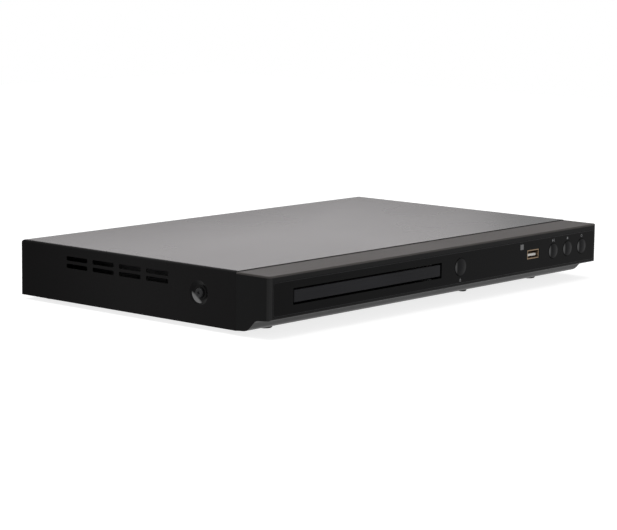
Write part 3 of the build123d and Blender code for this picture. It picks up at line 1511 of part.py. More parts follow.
# ================================================================= ribbons
# Flat cable from the front board, over the chassis wall, to the main board.
ribbon_width = 14.0
ribbon_thickness = 0.6
ribbon_connector = (18.0, 5.0, 4.0)
ribbon_x = main_x
ribbon_z = base_z + pan_wall + 3.0
ribbon_start = front_y + board_setback + board_thickness + ribbon_connector[2]
ribbon_end = main_y - main_depth / 2 + 6.0

with BuildPart() as panel_ribbon:
    with BuildSketch(at_front(board_setback + board_thickness)):
        with Locations((ribbon_x, ribbon_z)):
            Rectangle(ribbon_connector[0], ribbon_connector[1])
    extrude(amount=-ribbon_connector[2])
    with BuildSketch(at_height(board_top)):
        with Locations((ribbon_x, ribbon_end)):
            Rectangle(ribbon_connector[0], ribbon_connector[1])
    extrude(amount=ribbon_connector[2])
    with BuildSketch(Plane.YZ.offset(ribbon_x - ribbon_width / 2)):
        with BuildLine() as ribbon_path:
            FilletPolyline(
                (ribbon_start, ribbon_z),
                (ribbon_end, ribbon_z),
                (ribbon_end, board_top + ribbon_connector[2]),
                radius=2.0,
            )
        trace(ribbon_path.line, ribbon_thickness)
    extrude(amount=ribbon_width)

panel_ribbon.part.label = "panel_ribbon"
export_step(panel_ribbon.part, "parts/panel_ribbon.step")
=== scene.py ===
from math import cos, pi, radians, sin

import bmesh
import bpy
from mathutils import Matrix, Vector


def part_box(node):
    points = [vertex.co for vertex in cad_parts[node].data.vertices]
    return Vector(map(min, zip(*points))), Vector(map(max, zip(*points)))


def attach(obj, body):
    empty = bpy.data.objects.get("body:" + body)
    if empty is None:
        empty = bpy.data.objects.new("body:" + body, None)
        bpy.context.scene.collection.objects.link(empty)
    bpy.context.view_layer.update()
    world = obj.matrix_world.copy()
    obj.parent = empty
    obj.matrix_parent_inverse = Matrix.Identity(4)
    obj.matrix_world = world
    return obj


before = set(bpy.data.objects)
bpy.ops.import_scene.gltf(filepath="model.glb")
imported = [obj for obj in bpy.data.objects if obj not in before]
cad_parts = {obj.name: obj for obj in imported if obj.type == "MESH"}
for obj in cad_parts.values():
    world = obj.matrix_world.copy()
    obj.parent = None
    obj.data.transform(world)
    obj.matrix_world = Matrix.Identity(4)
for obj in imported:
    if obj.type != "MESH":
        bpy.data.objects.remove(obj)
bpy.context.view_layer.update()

# ------------------------------------------------------------------ steel cover
# Folded steel lid over the top and both sides, held by a screw in each side's
# dimple and sprayed satin black. The coat is slightly textured, so it scatters
# what it mirrors at a low angle.
noise_low = 0.3
noise_high = 0.7  # Noise keeps mostly between these two.
patches_per_metre = 14.0


def new_group(name, inputs, outputs):
    """An empty node group with plain sockets, and its two end nodes."""
    group = bpy.data.node_groups.new(name, "ShaderNodeTree")
    for title, kind, value in inputs:
        socket = group.interface.new_socket(title, in_out="INPUT", socket_type=f"NodeSocket{kind}")
        socket.default_value = value
    for title, kind in outputs:
        group.interface.new_socket(title, in_out="OUTPUT", socket_type=f"NodeSocket{kind}")
    return group, group.nodes.new("NodeGroupInput"), group.nodes.new("NodeGroupOutput")


def add_node(tree, kind, sockets=None, **properties):
    """A node of that kind. Sockets gives values to its inputs, by title or by number."""
    node = tree.nodes.new(f"ShaderNode{kind}")
    for name, value in properties.items():
        setattr(node, name, value)
    for socket, value in (sockets or {}).items():
        node.inputs[socket].default_value = value
    return node


def wire(tree, *runs):
    """Links nodes. A run is a node, its output, the next node and its input."""
    for source, output, target, entry in runs:
        tree.links.new(source.outputs[output], target.inputs[entry])


grain_group, grain_in, grain_out = new_group(
    "surface_grain",
    [("Colour", "Color", (0.1, 0.1, 0.1, 1.0)), ("Grains per Metre", "Float", 900.0),
     ("Stretch", "Vector", (1.0, 1.0, 1.0)), ("Tint Spread", "Float", 0.2),
     ("Roughness", "Float", 0.4), ("Roughness Spread", "Float", 0.06), ("Depth", "Float", 0.00001)],
    [("Colour", "Color"), ("Roughness", "Float"), ("Normal", "Vector")])
place = add_node(grain_group, "TexCoord")
stretched = add_node(grain_group, "VectorMath", operation="MULTIPLY")
grains = add_node(grain_group, "TexNoise", {"Detail": 3.0, "Roughness": 0.6})
patches = add_node(grain_group, "TexNoise", {"Scale": patches_per_metre, "Detail": 2.0})
either_way = {"From Min": noise_low, "From Max": noise_high, "To Min": -1.0}
grain_level = add_node(grain_group, "MapRange", either_way)
patch_level = add_node(grain_group, "MapRange", either_way)
both = add_node(grain_group, "Math", operation="ADD")
shade = add_node(grain_group, "Math", {2: 1.0}, operation="MULTIPLY_ADD")
tinted = add_node(grain_group, "VectorMath", operation="SCALE")
rough = add_node(grain_group, "Math", operation="MULTIPLY_ADD")
bump = add_node(grain_group, "Bump")
wire(grain_group,
     (place, "Object", stretched, 0), (grain_in, "Stretch", stretched, 1),
     (stretched, 0, grains, "Vector"), (grain_in, "Grains per Metre", grains, "Scale"),
     (place, "Object", patches, "Vector"), (grains, "Fac", grain_level, "Value"),
     (patches, "Fac", patch_level, "Value"), (grain_level, 0, both, 0), (patch_level, 0, both, 1),
     (both, 0, shade, 0), (grain_in, "Tint Spread", shade, 1),
     (grain_in, "Colour", tinted, 0), (shade, 0, tinted, "Scale"), (tinted, 0, grain_out, "Colour"),
     (patch_level, 0, rough, 0), (grain_in, "Roughness Spread", rough, 1),
     (grain_in, "Roughness", rough, 2), (rough, 0, grain_out, "Roughness"),
     (grains, "Fac", bump, "Height"), (grain_in, "Depth", bump, "Distance"),
     (bump, 0, grain_out, "Normal"))


def new_finish(name):
    """A new material, with its node tree and its shader."""
    finish = bpy.data.materials.new(name)
    finish.use_nodes = True
    return finish, finish.node_tree, finish.node_tree.nodes["Principled BSDF"]


def grained(name, colour, roughness, grains=900.0, stretch=(1.0, 1.0, 1.0), tint=0.12, spread=0.04,
            depth=0.00001, **shader_sockets):
    """A finish with the surface grain on it. What is the same all over goes on the shader's own sockets."""
    finish, tree, shader = new_finish(name)
    grain = add_node(tree, "Group", {
        "Colour": (*colour, 1.0), "Grains per Metre": grains, "Stretch": stretch, "Tint Spread": tint,
        "Roughness": roughness, "Roughness Spread": spread, "Depth": depth}, node_tree=grain_group)
    wire(tree, (grain, "Colour", shader, "Base Color"), (grain, "Roughness", shader, "Roughness"),
         (grain, "Normal", shader, "Normal"))
    for title, value in shader_sockets.items():
        shader.inputs[title.replace("_", " ").title().replace("Ior", "IOR")].default_value = value
    return finish


def give(finish, *node_names):
    """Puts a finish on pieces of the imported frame."""
    for name in node_names:
        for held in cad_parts[name].material_slots:
            held.material = finish


satin_black_paint = grained("satin_black_paint", (0.0055, 0.0051, 0.0053), roughness=0.27, grains=2600.0,
                            tint=0.06, spread=0.006, depth=0.000004, specular_ior_level=0.06)
give(satin_black_paint, "top_cover", "rear_panel")

# Painted sheen: the paint's shine is set higher at the front left and falls off to the rear and right.
# Painted highlight: the shine is raised on the lower rear wall of the dimple round each side screw.
front_left_painted_sheen = 0.060
rear_right_painted_sheen = 0.028
painted_sheen_fade_end = 0.9
dimple_reach = 0.0066
painted_highlight_wall = (0.0, 0.6, -0.8)
painted_highlight_starts = 0.0034
painted_highlight_ends = 0.0048
painted_highlight_level = 1.6
screws_low, screws_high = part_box("cover_screws")
screw_y = (screws_low.y + screws_high.y) / 2
screw_z = (screws_low.z + screws_high.z) / 2
cover_right, cover_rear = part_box("top_cover")[1].xy
paint_tree = satin_black_paint.node_tree
paint_place = add_node(paint_tree, "TexCoord")
off_screw = add_node(paint_tree, "VectorMath", {1: (0.0, screw_y, screw_z)}, operation="SUBTRACT")
along_side = add_node(paint_tree, "VectorMath", {1: (0.0, 1.0, 1.0)}, operation="MULTIPLY")
from_screw = add_node(paint_tree, "VectorMath", operation="LENGTH")
in_dimple = add_node(paint_tree, "Math", {1: dimple_reach}, operation="LESS_THAN")
towards_wall = add_node(paint_tree, "VectorMath", {1: painted_highlight_wall}, operation="DOT_PRODUCT")
# Painted highlight: the shine rises on the dimple's lower rear wall round the screw.
wall_painted_highlight = add_node(paint_tree, "MapRange", {
    "From Min": painted_highlight_starts, "From Max": painted_highlight_ends, "To Max": painted_highlight_level})
dimple_painted_highlight = add_node(paint_tree, "Math", operation="MULTIPLY")
paint_at = add_node(paint_tree, "SeparateXYZ")
to_rear = add_node(paint_tree, "MapRange", {"From Max": painted_sheen_fade_end * cover_rear})
to_right = add_node(paint_tree, "MapRange", {"From Max": painted_sheen_fade_end * cover_right})
towards_rear_right = add_node(paint_tree, "Math", operation="MAXIMUM")
# Painted sheen: the shine falls off from the front left to the rear and right.
painted_sheen_fade = add_node(paint_tree, "MapRange", {"To Min": front_left_painted_sheen, "To Max": rear_right_painted_sheen})
painted_sheen_total = add_node(paint_tree, "Math", operation="ADD")
wire(paint_tree,
     (paint_place, "Object", off_screw, 0), (off_screw, 0, along_side, 0),
     (along_side, 0, from_screw, 0), (from_screw, "Value", in_dimple, 0),
     (along_side, 0, towards_wall, 0), (towards_wall, "Value", wall_painted_highlight, "Value"),
     (in_dimple, 0, dimple_painted_highlight, 0), (wall_painted_highlight, 0, dimple_painted_highlight, 1),
     (paint_place, "Object", paint_at, 0), (paint_at, "Y", to_rear, "Value"),
     (paint_at, "X", to_right, "Value"), (to_rear, 0, towards_rear_right, 0), (to_right, 0, towards_rear_right, 1),
     (towards_rear_right, 0, painted_sheen_fade, "Value"), (painted_sheen_fade, 0, painted_sheen_total, 0), (dimple_painted_highlight, 0, painted_sheen_total, 1),
     (painted_sheen_total, 0, paint_tree.nodes["Principled BSDF"], "Specular IOR Level"))

# ---------------------------------------------------------------- cover screws
# Pan-head screws in black zinc, one in each side's dimple, each with a cross recess painted as shade: two
# near-black bars on the head.
# They hold the cover to the chassis pan.
recess_half = 0.00135
recess_width = 0.00055
recess_proud = 0.00002
recess_turn = 20.0
black_zinc = grained("black_zinc", (0.012, 0.012, 0.013), roughness=0.30, grains=3000.0, depth=0.000004,
                     specular_ior_level=0.2)
# Painted shade: near-black bars stand in for the shade inside each cross recess.
recess_painted_shade = grained("recess_painted_shade", (0.0015, 0.0015, 0.0015), roughness=0.6, specular_ior_level=0.05)
give(black_zinc, "cover_screws")


def add_recess(made, at, about_z):
    """Two crossed bars, the painted shade of a cross recess, that face along X, or along Y when turned
    about Z.
    """
    for turn in (recess_turn, recess_turn + 90.0):
        arm = bmesh.ops.create_cube(made, size=1.0)["verts"]
        bmesh.ops.scale(made, vec=(2 * recess_proud, 2 * recess_half, recess_width), verts=arm)
        bmesh.ops.rotate(made, matrix=Matrix.Rotation(radians(turn), 3, "X"), verts=arm)
        bmesh.ops.rotate(made, matrix=Matrix.Rotation(radians(about_z), 3, "Z"), verts=arm)
        bmesh.ops.translate(made, vec=at, verts=arm)


def add_piece(name, made, finish):
    """Makes an object of the mesh, fixed to the housing."""
    mesh = bpy.data.meshes.new(name)
    made.to_mesh(mesh)
    made.free()
    piece = bpy.data.objects.new(name, mesh)
    bpy.context.scene.collection.objects.link(piece)
    mesh.materials.append(finish)
    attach(piece, "housing")


for name, face_x in (("screw_recess_left", screws_low.x), ("screw_recess_right", screws_high.x)):
    recess = bmesh.new()
    add_recess(recess, (face_x, screw_y, screw_z), about_z=0.0)
    add_piece(name, recess, recess_painted_shade)

# ----------------------------------------------------------------- chassis pan
# Pressed sheet that carries the loader and the boards, zinc-plated, with soft
# spangles a few millimetres across. Its tone is set nearly black as painted shade,
# for the unlit inside seen through the cover's vents.
spangles_per_metre = 240.0
# Painted shade: both spangle tones are nearly black, for the unlit inside.
dark_spangle = (0.035, 0.035, 0.037, 1.0)
pale_spangle = (0.070, 0.070, 0.073, 1.0)
zinc_plate, zinc_tree, zinc_shader = new_finish("zinc_plate")
zinc_shader.inputs["Metallic"].default_value = 1.0
zinc_place = add_node(zinc_tree, "TexCoord")
spangles = add_node(zinc_tree, "TexVoronoi", {"Scale": spangles_per_metre}, feature="F1")
spangle_bw = add_node(zinc_tree, "RGBToBW")
spangle_tone = add_node(zinc_tree, "ValToRGB")
spangle_tone.color_ramp.elements[0].color = dark_spangle
spangle_tone.color_ramp.elements[1].color = pale_spangle
spangle_rough = add_node(zinc_tree, "MapRange", {"To Min": 0.30, "To Max": 0.46})
wire(zinc_tree,
     (zinc_place, "Object", spangles, "Vector"), (spangles, "Color", spangle_bw, 0),
     (spangle_bw, 0, spangle_tone, "Fac"), (spangle_tone, "Color", zinc_shader, "Base Color"),
     (spangle_bw, 0, spangle_rough, "Value"), (spangle_rough, 0, zinc_shader, "Roughness"))
give(zinc_plate, "chassis_pan", "traverse_plate", "clamper_bridge", "loading_motor", "sled_motor",
     "spindle_rotor")

# ------------------------------------------------------------- feet and buffer
# Moulded rubber feet under the pan's four corners, a small buffer behind the
# chin, and the soft dampers that carry the disc drive.
foot_rubber = grained("foot_rubber", (0.018, 0.018, 0.018), roughness=0.78, grains=2200.0, tint=0.2,
                      depth=0.00003)
give(foot_rubber, "front_feet", "rear_feet", "front_pad", "rubber_dampers")

# -------------------------------------------------------------- fascia moulding
# Black styrene frame across the pan's front, curved in under the chin, with a fine
# spark-eroded texture. A painted sheen, a clear coat, is laid under the chin and on
# the rounded left front and right rear corners.
chin_corner_painted_sheen = 0.25
frame_plastic = grained("frame_plastic", (0.0050, 0.0050, 0.0052), roughness=0.38, grains=3200.0, tint=0.1,
                        depth=0.000005, specular_ior_level=0.07, coat_roughness=0.38)
give(frame_plastic, "fascia_frame")

# A mask of which way the surface faces: along an axis, or with Corner between
# left and front, or right and rear. It rises from 0 at From to 1 at To.
facing_group, facing_in, facing_out = new_group(
    "facing_mask",
    [("Along X", "Float", 1.0), ("Along Z", "Float", 1.0), ("Corner", "Float", 0.0),
     ("From", "Float", 0.1), ("To", "Float", 0.4)],
    [("Mask", "Float")])
facing_place = add_node(facing_group, "TexCoord")
facing_axes = add_node(facing_group, "SeparateXYZ")
facing_x = add_node(facing_group, "Math", operation="MULTIPLY")
facing_z = add_node(facing_group, "Math", operation="MULTIPLY")
facing_most = add_node(facing_group, "Math", operation="MAXIMUM")
facing_x_and_y = add_node(facing_group, "Math", operation="MULTIPLY")
facing_corner = add_node(facing_group, "Math", operation="MULTIPLY")
facing_any = add_node(facing_group, "Math", operation="MAXIMUM")
facing_level = add_node(facing_group, "MapRange")
wire(facing_group,
     (facing_place, "Normal", facing_axes, 0),
     (facing_axes, "X", facing_x, 0), (facing_in, "Along X", facing_x, 1),
     (facing_axes, "Z", facing_z, 0), (facing_in, "Along Z", facing_z, 1),
     (facing_x, 0, facing_most, 0), (facing_z, 0, facing_most, 1),
     (facing_axes, "X", facing_x_and_y, 0), (facing_axes, "Y", facing_x_and_y, 1),
     (facing_x_and_y, 0, facing_corner, 0), (facing_in, "Corner", facing_corner, 1),
     (facing_most, 0, facing_any, 0), (facing_corner, 0, facing_any, 1),
     (facing_any, 0, facing_level, "Value"), (facing_in, "From", facing_level, "From Min"),
     (facing_in, "To", facing_level, "From Max"), (facing_level, 0, facing_out, "Mask"))


def add_painted_sheen(finish, sheen_weight, along_x, along_z, corner, start, end):
    """Adds a painted sheen, a clear coat, where the finish's surface faces the given way."""
    tree = finish.node_tree
    facing = add_node(tree, "Group", {
        "Along X": along_x, "Along Z": along_z, "Corner": corner, "From": start, "To": end},
        node_tree=facing_group)
    painted_sheen_weight = add_node(tree, "Math", {1: sheen_weight}, operation="MULTIPLY")
    wire(tree, (facing, "Mask", painted_sheen_weight, 0), (painted_sheen_weight, 0, tree.nodes["Principled BSDF"], "Coat Weight"))


# Painted sheen: a coat under the chin and on the rounded corners of the frame.
add_painted_sheen(frame_plastic, chin_corner_painted_sheen, along_x=0.0, along_z=-1.0, corner=8.0, start=0.2, end=0.9)

# ----------------------------------------------------------------- gloss panel
# Black acrylic-faced panel, polished and let flush into the frame. Its face has
# the slight waviness of a thin moulding.
gloss_acrylic = grained("gloss_acrylic", (0.0022, 0.0022, 0.0024), roughness=0.14, grains=60.0, tint=0.05,
                        spread=0.02, depth=0.000005, specular_ior_level=0.05)
give(gloss_acrylic, "front_panel")

# ------------------------------------------------------------- top trim strip
# Aluminium strip, brushed along its length and anodised gunmetal brown. It covers
# the whole top of the fascia, in front of the steel cover.
brushed_gunmetal = grained("brushed_gunmetal", (0.054, 0.049, 0.047), roughness=0.62, grains=2600.0,
                           stretch=(0.006, 1.0, 1.0), tint=0.14, spread=0.05, depth=0.000006,
                           specular_ior_level=0.12)
give(brushed_gunmetal, "fascia_top_trim")

# -------------------------------------------------------------------- tray door
# Black moulded door, clipped to the tray's front, with fine hairlines along
# its length.
hairline_black = grained("hairline_black", (0.0150, 0.0150, 0.0170), roughness=0.34, grains=2400.0,
                         stretch=(0.01, 1.0, 1.0), tint=0.16, depth=0.000004, specular_ior_level=0.06)
give(hairline_black, "tray_door")

# ------------------------------------------------------------------------- keys
# Four domed push keys, moulded in black, with a painted glint: a clear coat on their left shoulders.
# Behind each, a black plunger reaches its switch.
key_painted_glint = 0.91
key_plastic = grained("key_plastic", (0.0035, 0.0035, 0.0040), roughness=0.17, grains=3000.0, tint=0.1,
                      depth=0.000003, specular_ior_level=0.07, coat_roughness=0.17, coat_ior=1.8)
plunger_plastic = grained("plunger_plastic", (0.02, 0.02, 0.02), roughness=0.5)
# Painted glint: a clear coat where the keys' shoulders face left.
add_painted_sheen(key_plastic, key_painted_glint, along_x=-1.0, along_z=0.0, corner=0.0, start=0.11, end=0.19)
for key in ("open", "play", "stop", "power"):
    give(key_plastic, f"{key}_button")
    give(plunger_plastic, f"{key}_plunger")

# -------------------------------------------------------------------- key signs
# Plain function signs beside the keys, screen-printed in grey on the panel:
# eject under its key, and play and pause, stop, and power over theirs.
print_thickness = 0.00003
sign_height = 0.0021
sign_above_key = 0.0076
sign_below_key = 0.0088
sign_ink = grained("sign_ink", (0.11, 0.11, 0.115), roughness=0.5, grains=2500.0, tint=0.2, depth=0.000003)
panel_low, panel_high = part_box("front_panel")


def printed(name, outlines, at_x, at_z, ink):
    """Thin print on the panel's front face. Outlines are closed, in metres round (at_x, at_z)."""
    made = bmesh.new()
    for outline in outlines:
        front, back = ([made.verts.new((at_x + x, y, at_z + z)) for x, z in outline]
                       for y in (panel_low.y - print_thickness, panel_low.y))
        made.faces.new(front)
        made.faces.new(back)
        for corner in range(len(outline)):
            following = (corner + 1) % len(outline)
            made.faces.new([front[corner], front[following], back[following], back[corner]])
    bmesh.ops.recalc_face_normals(made, faces=made.faces)
    add_piece(name, made, ink)


def box_outline(low_x, high_x, low_z, high_z):
    """The four corners of an upright box."""
    return [(low_x, low_z), (high_x, low_z), (high_x, high_z), (low_x, high_z)]


half = sign_height / 2
stroke = sign_height * 0.17
ring_gap = 60.0
ring_steps = 14
ring = []
for step in range(ring_steps):
    start, end = (radians(90.0 + ring_gap / 2 + (360.0 - ring_gap) * along / ring_steps)
                  for along in (step, step + 1))
    ring.append([(radius * cos(angle), radius * sin(angle)) for radius, angle in (
        (half, start), (half, end), (half - stroke, end), (half - stroke, start))])
signs = {
    "open": [[(-half, -0.2 * half), (half, -0.2 * half), (0.0, half)],
             box_outline(-half, half, -half, -0.6 * half)],
    "play": [[(-1.3 * half, -half), (0.2 * half, 0.0), (-1.3 * half, half)],
             box_outline(0.45 * half, 0.45 * half + stroke, -half, half),
             box_outline(1.1 * half, 1.1 * half + stroke, -half, half)],
    "stop": [box_outline(-0.8 * half, 0.8 * half, -0.8 * half, 0.8 * half)],
    "power": ring + [box_outline(-stroke / 2, stroke / 2, 0.1 * half, 1.2 * half)],
}
for key, outlines in signs.items():
    key_low, key_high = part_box(f"{key}_button")
    key_middle = (key_low + key_high) / 2
    rise = -sign_below_key if key == "open" else sign_above_key
    printed(f"{key}_sign", outlines, key_middle.x, key_middle.z + rise, sign_ink)

# ------------------------------------------------------------------ panel rim
# Thin flat strip round the gloss panel's edge, lighter than the panel: a painted
# highlight for the thin line of light that the panel's edge catches.
rim_width = 0.00032
rim_corner = 0.002
rim_steps = 6
# Painted highlight: the rim's colour and shine are raised above the panel's.
rim_painted_highlight = grained("rim_painted_highlight", (0.009, 0.009, 0.010), roughness=0.3, grains=800.0, tint=0.3,
                    depth=0.000002, specular_ior_level=0.15)
panel_middle = (panel_low + panel_high) / 2
panel_half = (panel_high - panel_low) / 2


def rounded_outline(half_x, half_z, corner):
    """Points round a rectangle with arcs at its corners."""
    points = []
    for sign_x, sign_z, start in ((1, 1, 0.0), (-1, 1, 90.0), (-1, -1, 180.0), (1, -1, 270.0)):
        for step in range(rim_steps + 1):
            angle = radians(start + 90.0 * step / rim_steps)
            points.append((sign_x * (half_x - corner) + corner * cos(angle),
                           sign_z * (half_z - corner) + corner * sin(angle)))
    return points


rim_outer = rounded_outline(panel_half.x, panel_half.z, rim_corner)
rim_inner = rounded_outline(panel_half.x - rim_width, panel_half.z - rim_width, rim_corner - rim_width)
rim_count = len(rim_outer)
rim_quads = [[rim_outer[i], rim_outer[(i + 1) % rim_count], rim_inner[(i + 1) % rim_count], rim_inner[i]]
             for i in range(rim_count)]
printed("panel_rim", rim_quads, panel_middle.x, panel_middle.z, rim_painted_highlight)

# --------------------------------------------------------------- remote window
# Smoked plastic square in front of the remote receiver, which lets infra-red
# through. It lies flush in the panel.
window_half = 0.0019
window_tint = grained("window_tint", (0.045, 0.045, 0.048), roughness=0.22, grains=400.0, tint=0.08,
                      coat_weight=0.5)
receiver_low, receiver_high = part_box("remote_receiver")
receiver_middle = (receiver_low + receiver_high) / 2
printed("receiver_window", [box_outline(-window_half, window_half, -window_half, window_half)],
        receiver_middle.x, receiver_middle.z, window_tint)

# ------------------------------------------------------------------ USB socket
# Folded shell, flashed with nickel and gold, round a white moulded tongue with
# four sprung contacts. It is soldered to the front board.
contact_size = Vector((0.001, 0.0048, 0.0001))
contact_places = (-0.0035, -0.001, 0.001, 0.0035)
contact_setback = 0.0004
tongue_thickness = 0.0019
tongue_drop = 0.0007
gold_flash = grained("gold_flash", (0.20, 0.145, 0.095), roughness=0.34, grains=1500.0, metallic=1.0,
                     depth=0.000003)
white_tongue = grained("white_tongue", (0.74, 0.73, 0.70), roughness=0.42, grains=2500.0, tint=0.04)
contact_gold = grained("contact_gold", (0.60, 0.44, 0.20), roughness=0.3, metallic=1.0, depth=0.000002)
give(gold_flash, "usb_socket", "jack_barrels", "sled_pinion")
give(white_tongue, "usb_tongue")
tongue_low, tongue_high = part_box("usb_tongue")
socket_low, socket_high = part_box("usb_socket")
tongue_x = (tongue_low.x + tongue_high.x) / 2
tongue_top = (socket_low.z + socket_high.z) / 2 - tongue_drop + tongue_thickness / 2
contact_y = tongue_low.y + contact_setback + contact_size.y / 2
contacts = bmesh.new()
for across in contact_places:
    contact = bmesh.ops.create_cube(contacts, size=1.0)["verts"]
    bmesh.ops.scale(contacts, vec=contact_size, verts=contact)
    bmesh.ops.translate(contacts, vec=(tongue_x + across, contact_y, tongue_top), verts=contact)
add_piece("usb_contacts", contacts, contact_gold)

# ----------------------------------------------------------------------- tray
# Disc tray in charcoal styrene with a fine moulded texture, which slides in the
# loader. The lift frame, turntable and clamper are of the same plastic.
tray_styrene = grained("tray_styrene", (0.034, 0.034, 0.036), roughness=0.46, grains=2800.0, tint=0.12,
                       depth=0.00001)
give(tray_styrene, "disc_tray", "lift_frame", "turntable", "clamper")

# --------------------------------------------------------------- loader moulding
# ABS frame on the pan, set nearly black as painted shade for the unlit inside seen
# through the vents, with gears and cam slider moulded in natural acetal, and a
# rubber belt from the motor's pulley.
# Painted shade: the loader frame's colour is nearly black for the unlit inside.
dark_abs_and_shade = grained("dark_abs_and_shade", (0.012, 0.012, 0.013), roughness=0.48, grains=2400.0, tint=0.08)
natural_acetal = grained("natural_acetal", (0.76, 0.75, 0.71), roughness=0.38, grains=1800.0, tint=0.05)
belt_rubber = grained("belt_rubber", (0.02, 0.02, 0.021), roughness=0.62, grains=3000.0)
give(dark_abs_and_shade, "loader_frame")
give(natural_acetal, "drive_gear", "pulley_gear", "motor_pulley", "cam_slider", "sled_gear")
give(belt_rubber, "loading_belt")

# ------------------------------------------------------------------ disc drive
# Die-cast pickup on ground steel shafts, with a coated lens over its coils. A
# sintered magnet pulls the clamper down onto the disc.
ground_steel = grained("ground_steel", (0.62, 0.62, 0.64), roughness=0.16, grains=2600.0,
                       stretch=(1.0, 0.02, 1.0), metallic=1.0)
cast_zinc = grained("cast_zinc", (0.42, 0.42, 0.43), roughness=0.40, grains=2200.0, metallic=1.0)
coated_lens = grained("coated_lens", (0.16, 0.20, 0.42), roughness=0.05, grains=300.0, tint=0.3,
                      coat_weight=1.0)
sintered = grained("sintered", (0.09, 0.09, 0.095), roughness=0.5, grains=1800.0, metallic=0.6)
give(ground_steel, "guide_shafts", "inlet_pins", "hdmi_socket")
give(cast_zinc, "pickup_body")
give(coated_lens, "objective_lens")
give(sintered, "clamper_magnet")

# --------------------------------------------------------------- circuit boards
# Glass-epoxy boards under green solder mask, and a brown paper-laminate one
# for the power supply, with their chips, coils and capacitors soldered on.
green_mask = grained("green_mask", (0.018, 0.11, 0.045), roughness=0.32, grains=500.0,
                     stretch=(1.0, 0.15, 1.0), tint=0.35)
paper_laminate = grained("paper_laminate", (0.36, 0.25, 0.11), roughness=0.5, grains=600.0, tint=0.15)
moulded_epoxy = grained("moulded_epoxy", (0.024, 0.024, 0.025), roughness=0.55, grains=2600.0)
capacitor_sleeve = grained("capacitor_sleeve", (0.03, 0.03, 0.06), roughness=0.28, grains=1200.0)
taped_coil = grained("taped_coil", (0.52, 0.36, 0.06), roughness=0.34, grains=900.0)
extruded_aluminium = grained("extruded_aluminium", (0.66, 0.66, 0.67), roughness=0.36, grains=1800.0,
                             stretch=(1.0, 1.0, 0.03), metallic=1.0)
ribbon_film = grained("ribbon_film", (0.68, 0.68, 0.66), roughness=0.4, grains=1500.0,
                      stretch=(1.0, 0.01, 0.01), tint=0.25)
give(green_mask, "front_board", "main_board", "spindle_motor")
give(paper_laminate, "power_board")
give(moulded_epoxy, "tact_switches", "remote_receiver", "board_chips")
give(capacitor_sleeve, "power_capacitors")
give(taped_coil, "power_coils")
give(extruded_aluminium, "power_heat_sink", "decoder_heat_sink")
give(ribbon_film, "panel_ribbon")

# ---------------------------------------------------------------- rear sockets
# Mains inlet and jack block, moulded in black nylon and let through the rear
# panel. Coloured plastic collars tell the six jacks apart.
collar_inner = 0.0042
collar_outer = 0.0056
collar_thickness = 0.0009
collar_chamfer = 0.0003
collar_sides = 40
collar_colours = (
    ("green", (0.02, 0.22, 0.06)), ("blue", (0.02, 0.06, 0.34)), ("red", (0.36, 0.02, 0.02)),
    ("yellow", (0.62, 0.46, 0.03)), ("white", (0.70, 0.70, 0.68)), ("red", (0.36, 0.02, 0.02)))
barrel_radius = 0.00415
black_nylon = grained("black_nylon", (0.022, 0.022, 0.022), roughness=0.46, grains=2600.0)
give(black_nylon, "mains_inlet", "jack_block")
barrels_low, barrels_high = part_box("jack_barrels")
collar_face = barrels_low.y + collar_thickness
collar_seat = collar_face - collar_thickness
collar_profile = (
    (collar_inner, collar_seat), (collar_inner, collar_face),
    (collar_outer - collar_chamfer, collar_face), (collar_outer, collar_face - collar_chamfer),
    (collar_outer, collar_seat))
columns = (barrels_low.x + barrel_radius, (barrels_low.x + barrels_high.x) / 2,
           barrels_high.x - barrel_radius)
rows = (barrels_high.z - barrel_radius, barrels_low.z + barrel_radius)
for index, (colour_name, colour) in enumerate(collar_colours):
    at_x = columns[index % len(columns)]
    at_z = rows[index // len(columns)]
    collar = bmesh.new()
    rings = []
    for radius, y in collar_profile:
        angles = [2 * pi * side / collar_sides for side in range(collar_sides)]
        rings.append([collar.verts.new((at_x + radius * cos(angle), y, at_z + radius * sin(angle)))
                      for angle in angles])
    for near, far in zip(rings, rings[1:] + rings[:1]):
        for side in range(collar_sides):
            following = (side + 1) % collar_sides
            collar.faces.new([near[side], near[following], far[following], far[side]])
    bmesh.ops.recalc_face_normals(collar, faces=collar.faces)
    collar_plastic = grained(f"collar_{index}_{colour_name}", colour, roughness=0.36, grains=2000.0,
                             tint=0.08)
    add_piece(f"jack_collar_{index}", collar, collar_plastic)

# ----------------------------------------------------------------- rear screws
# Black zinc pan-head screws, each with a cross recess painted as shade: two near-black
# bars on the head. They hold the rear panel to the pan, the board and the jacks.
rear_screw_radius = 0.0027
rear_screw_crown = 0.0019
rear_screw_height = 0.0011
rear_screw_sides = 28
rear_screw_places = ((-0.165, 0.022), (-0.06, 0.022), (0.066, 0.024), (0.121, 0.018), (0.165, 0.018))
rear_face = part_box("rear_panel")[1].y
heads = bmesh.new()
recesses = bmesh.new()
for at_x, at_z in rear_screw_places:
    head = bmesh.ops.create_cone(heads, cap_ends=True, segments=rear_screw_sides, radius1=rear_screw_radius,
                                 radius2=rear_screw_crown, depth=rear_screw_height)["verts"]
    bmesh.ops.rotate(heads, matrix=Matrix.Rotation(radians(-90.0), 3, "X"), verts=head)
    bmesh.ops.translate(heads, vec=(at_x, rear_face + rear_screw_height / 2, at_z), verts=head)
    add_recess(recesses, (at_x, rear_face + rear_screw_height, at_z), about_z=90.0)
add_piece("rear_screws", heads, black_zinc)
# Painted shade: the recess bars stand in for the shade inside the cross recesses.
add_piece("rear_screw_recesses", recesses, recess_painted_shade)

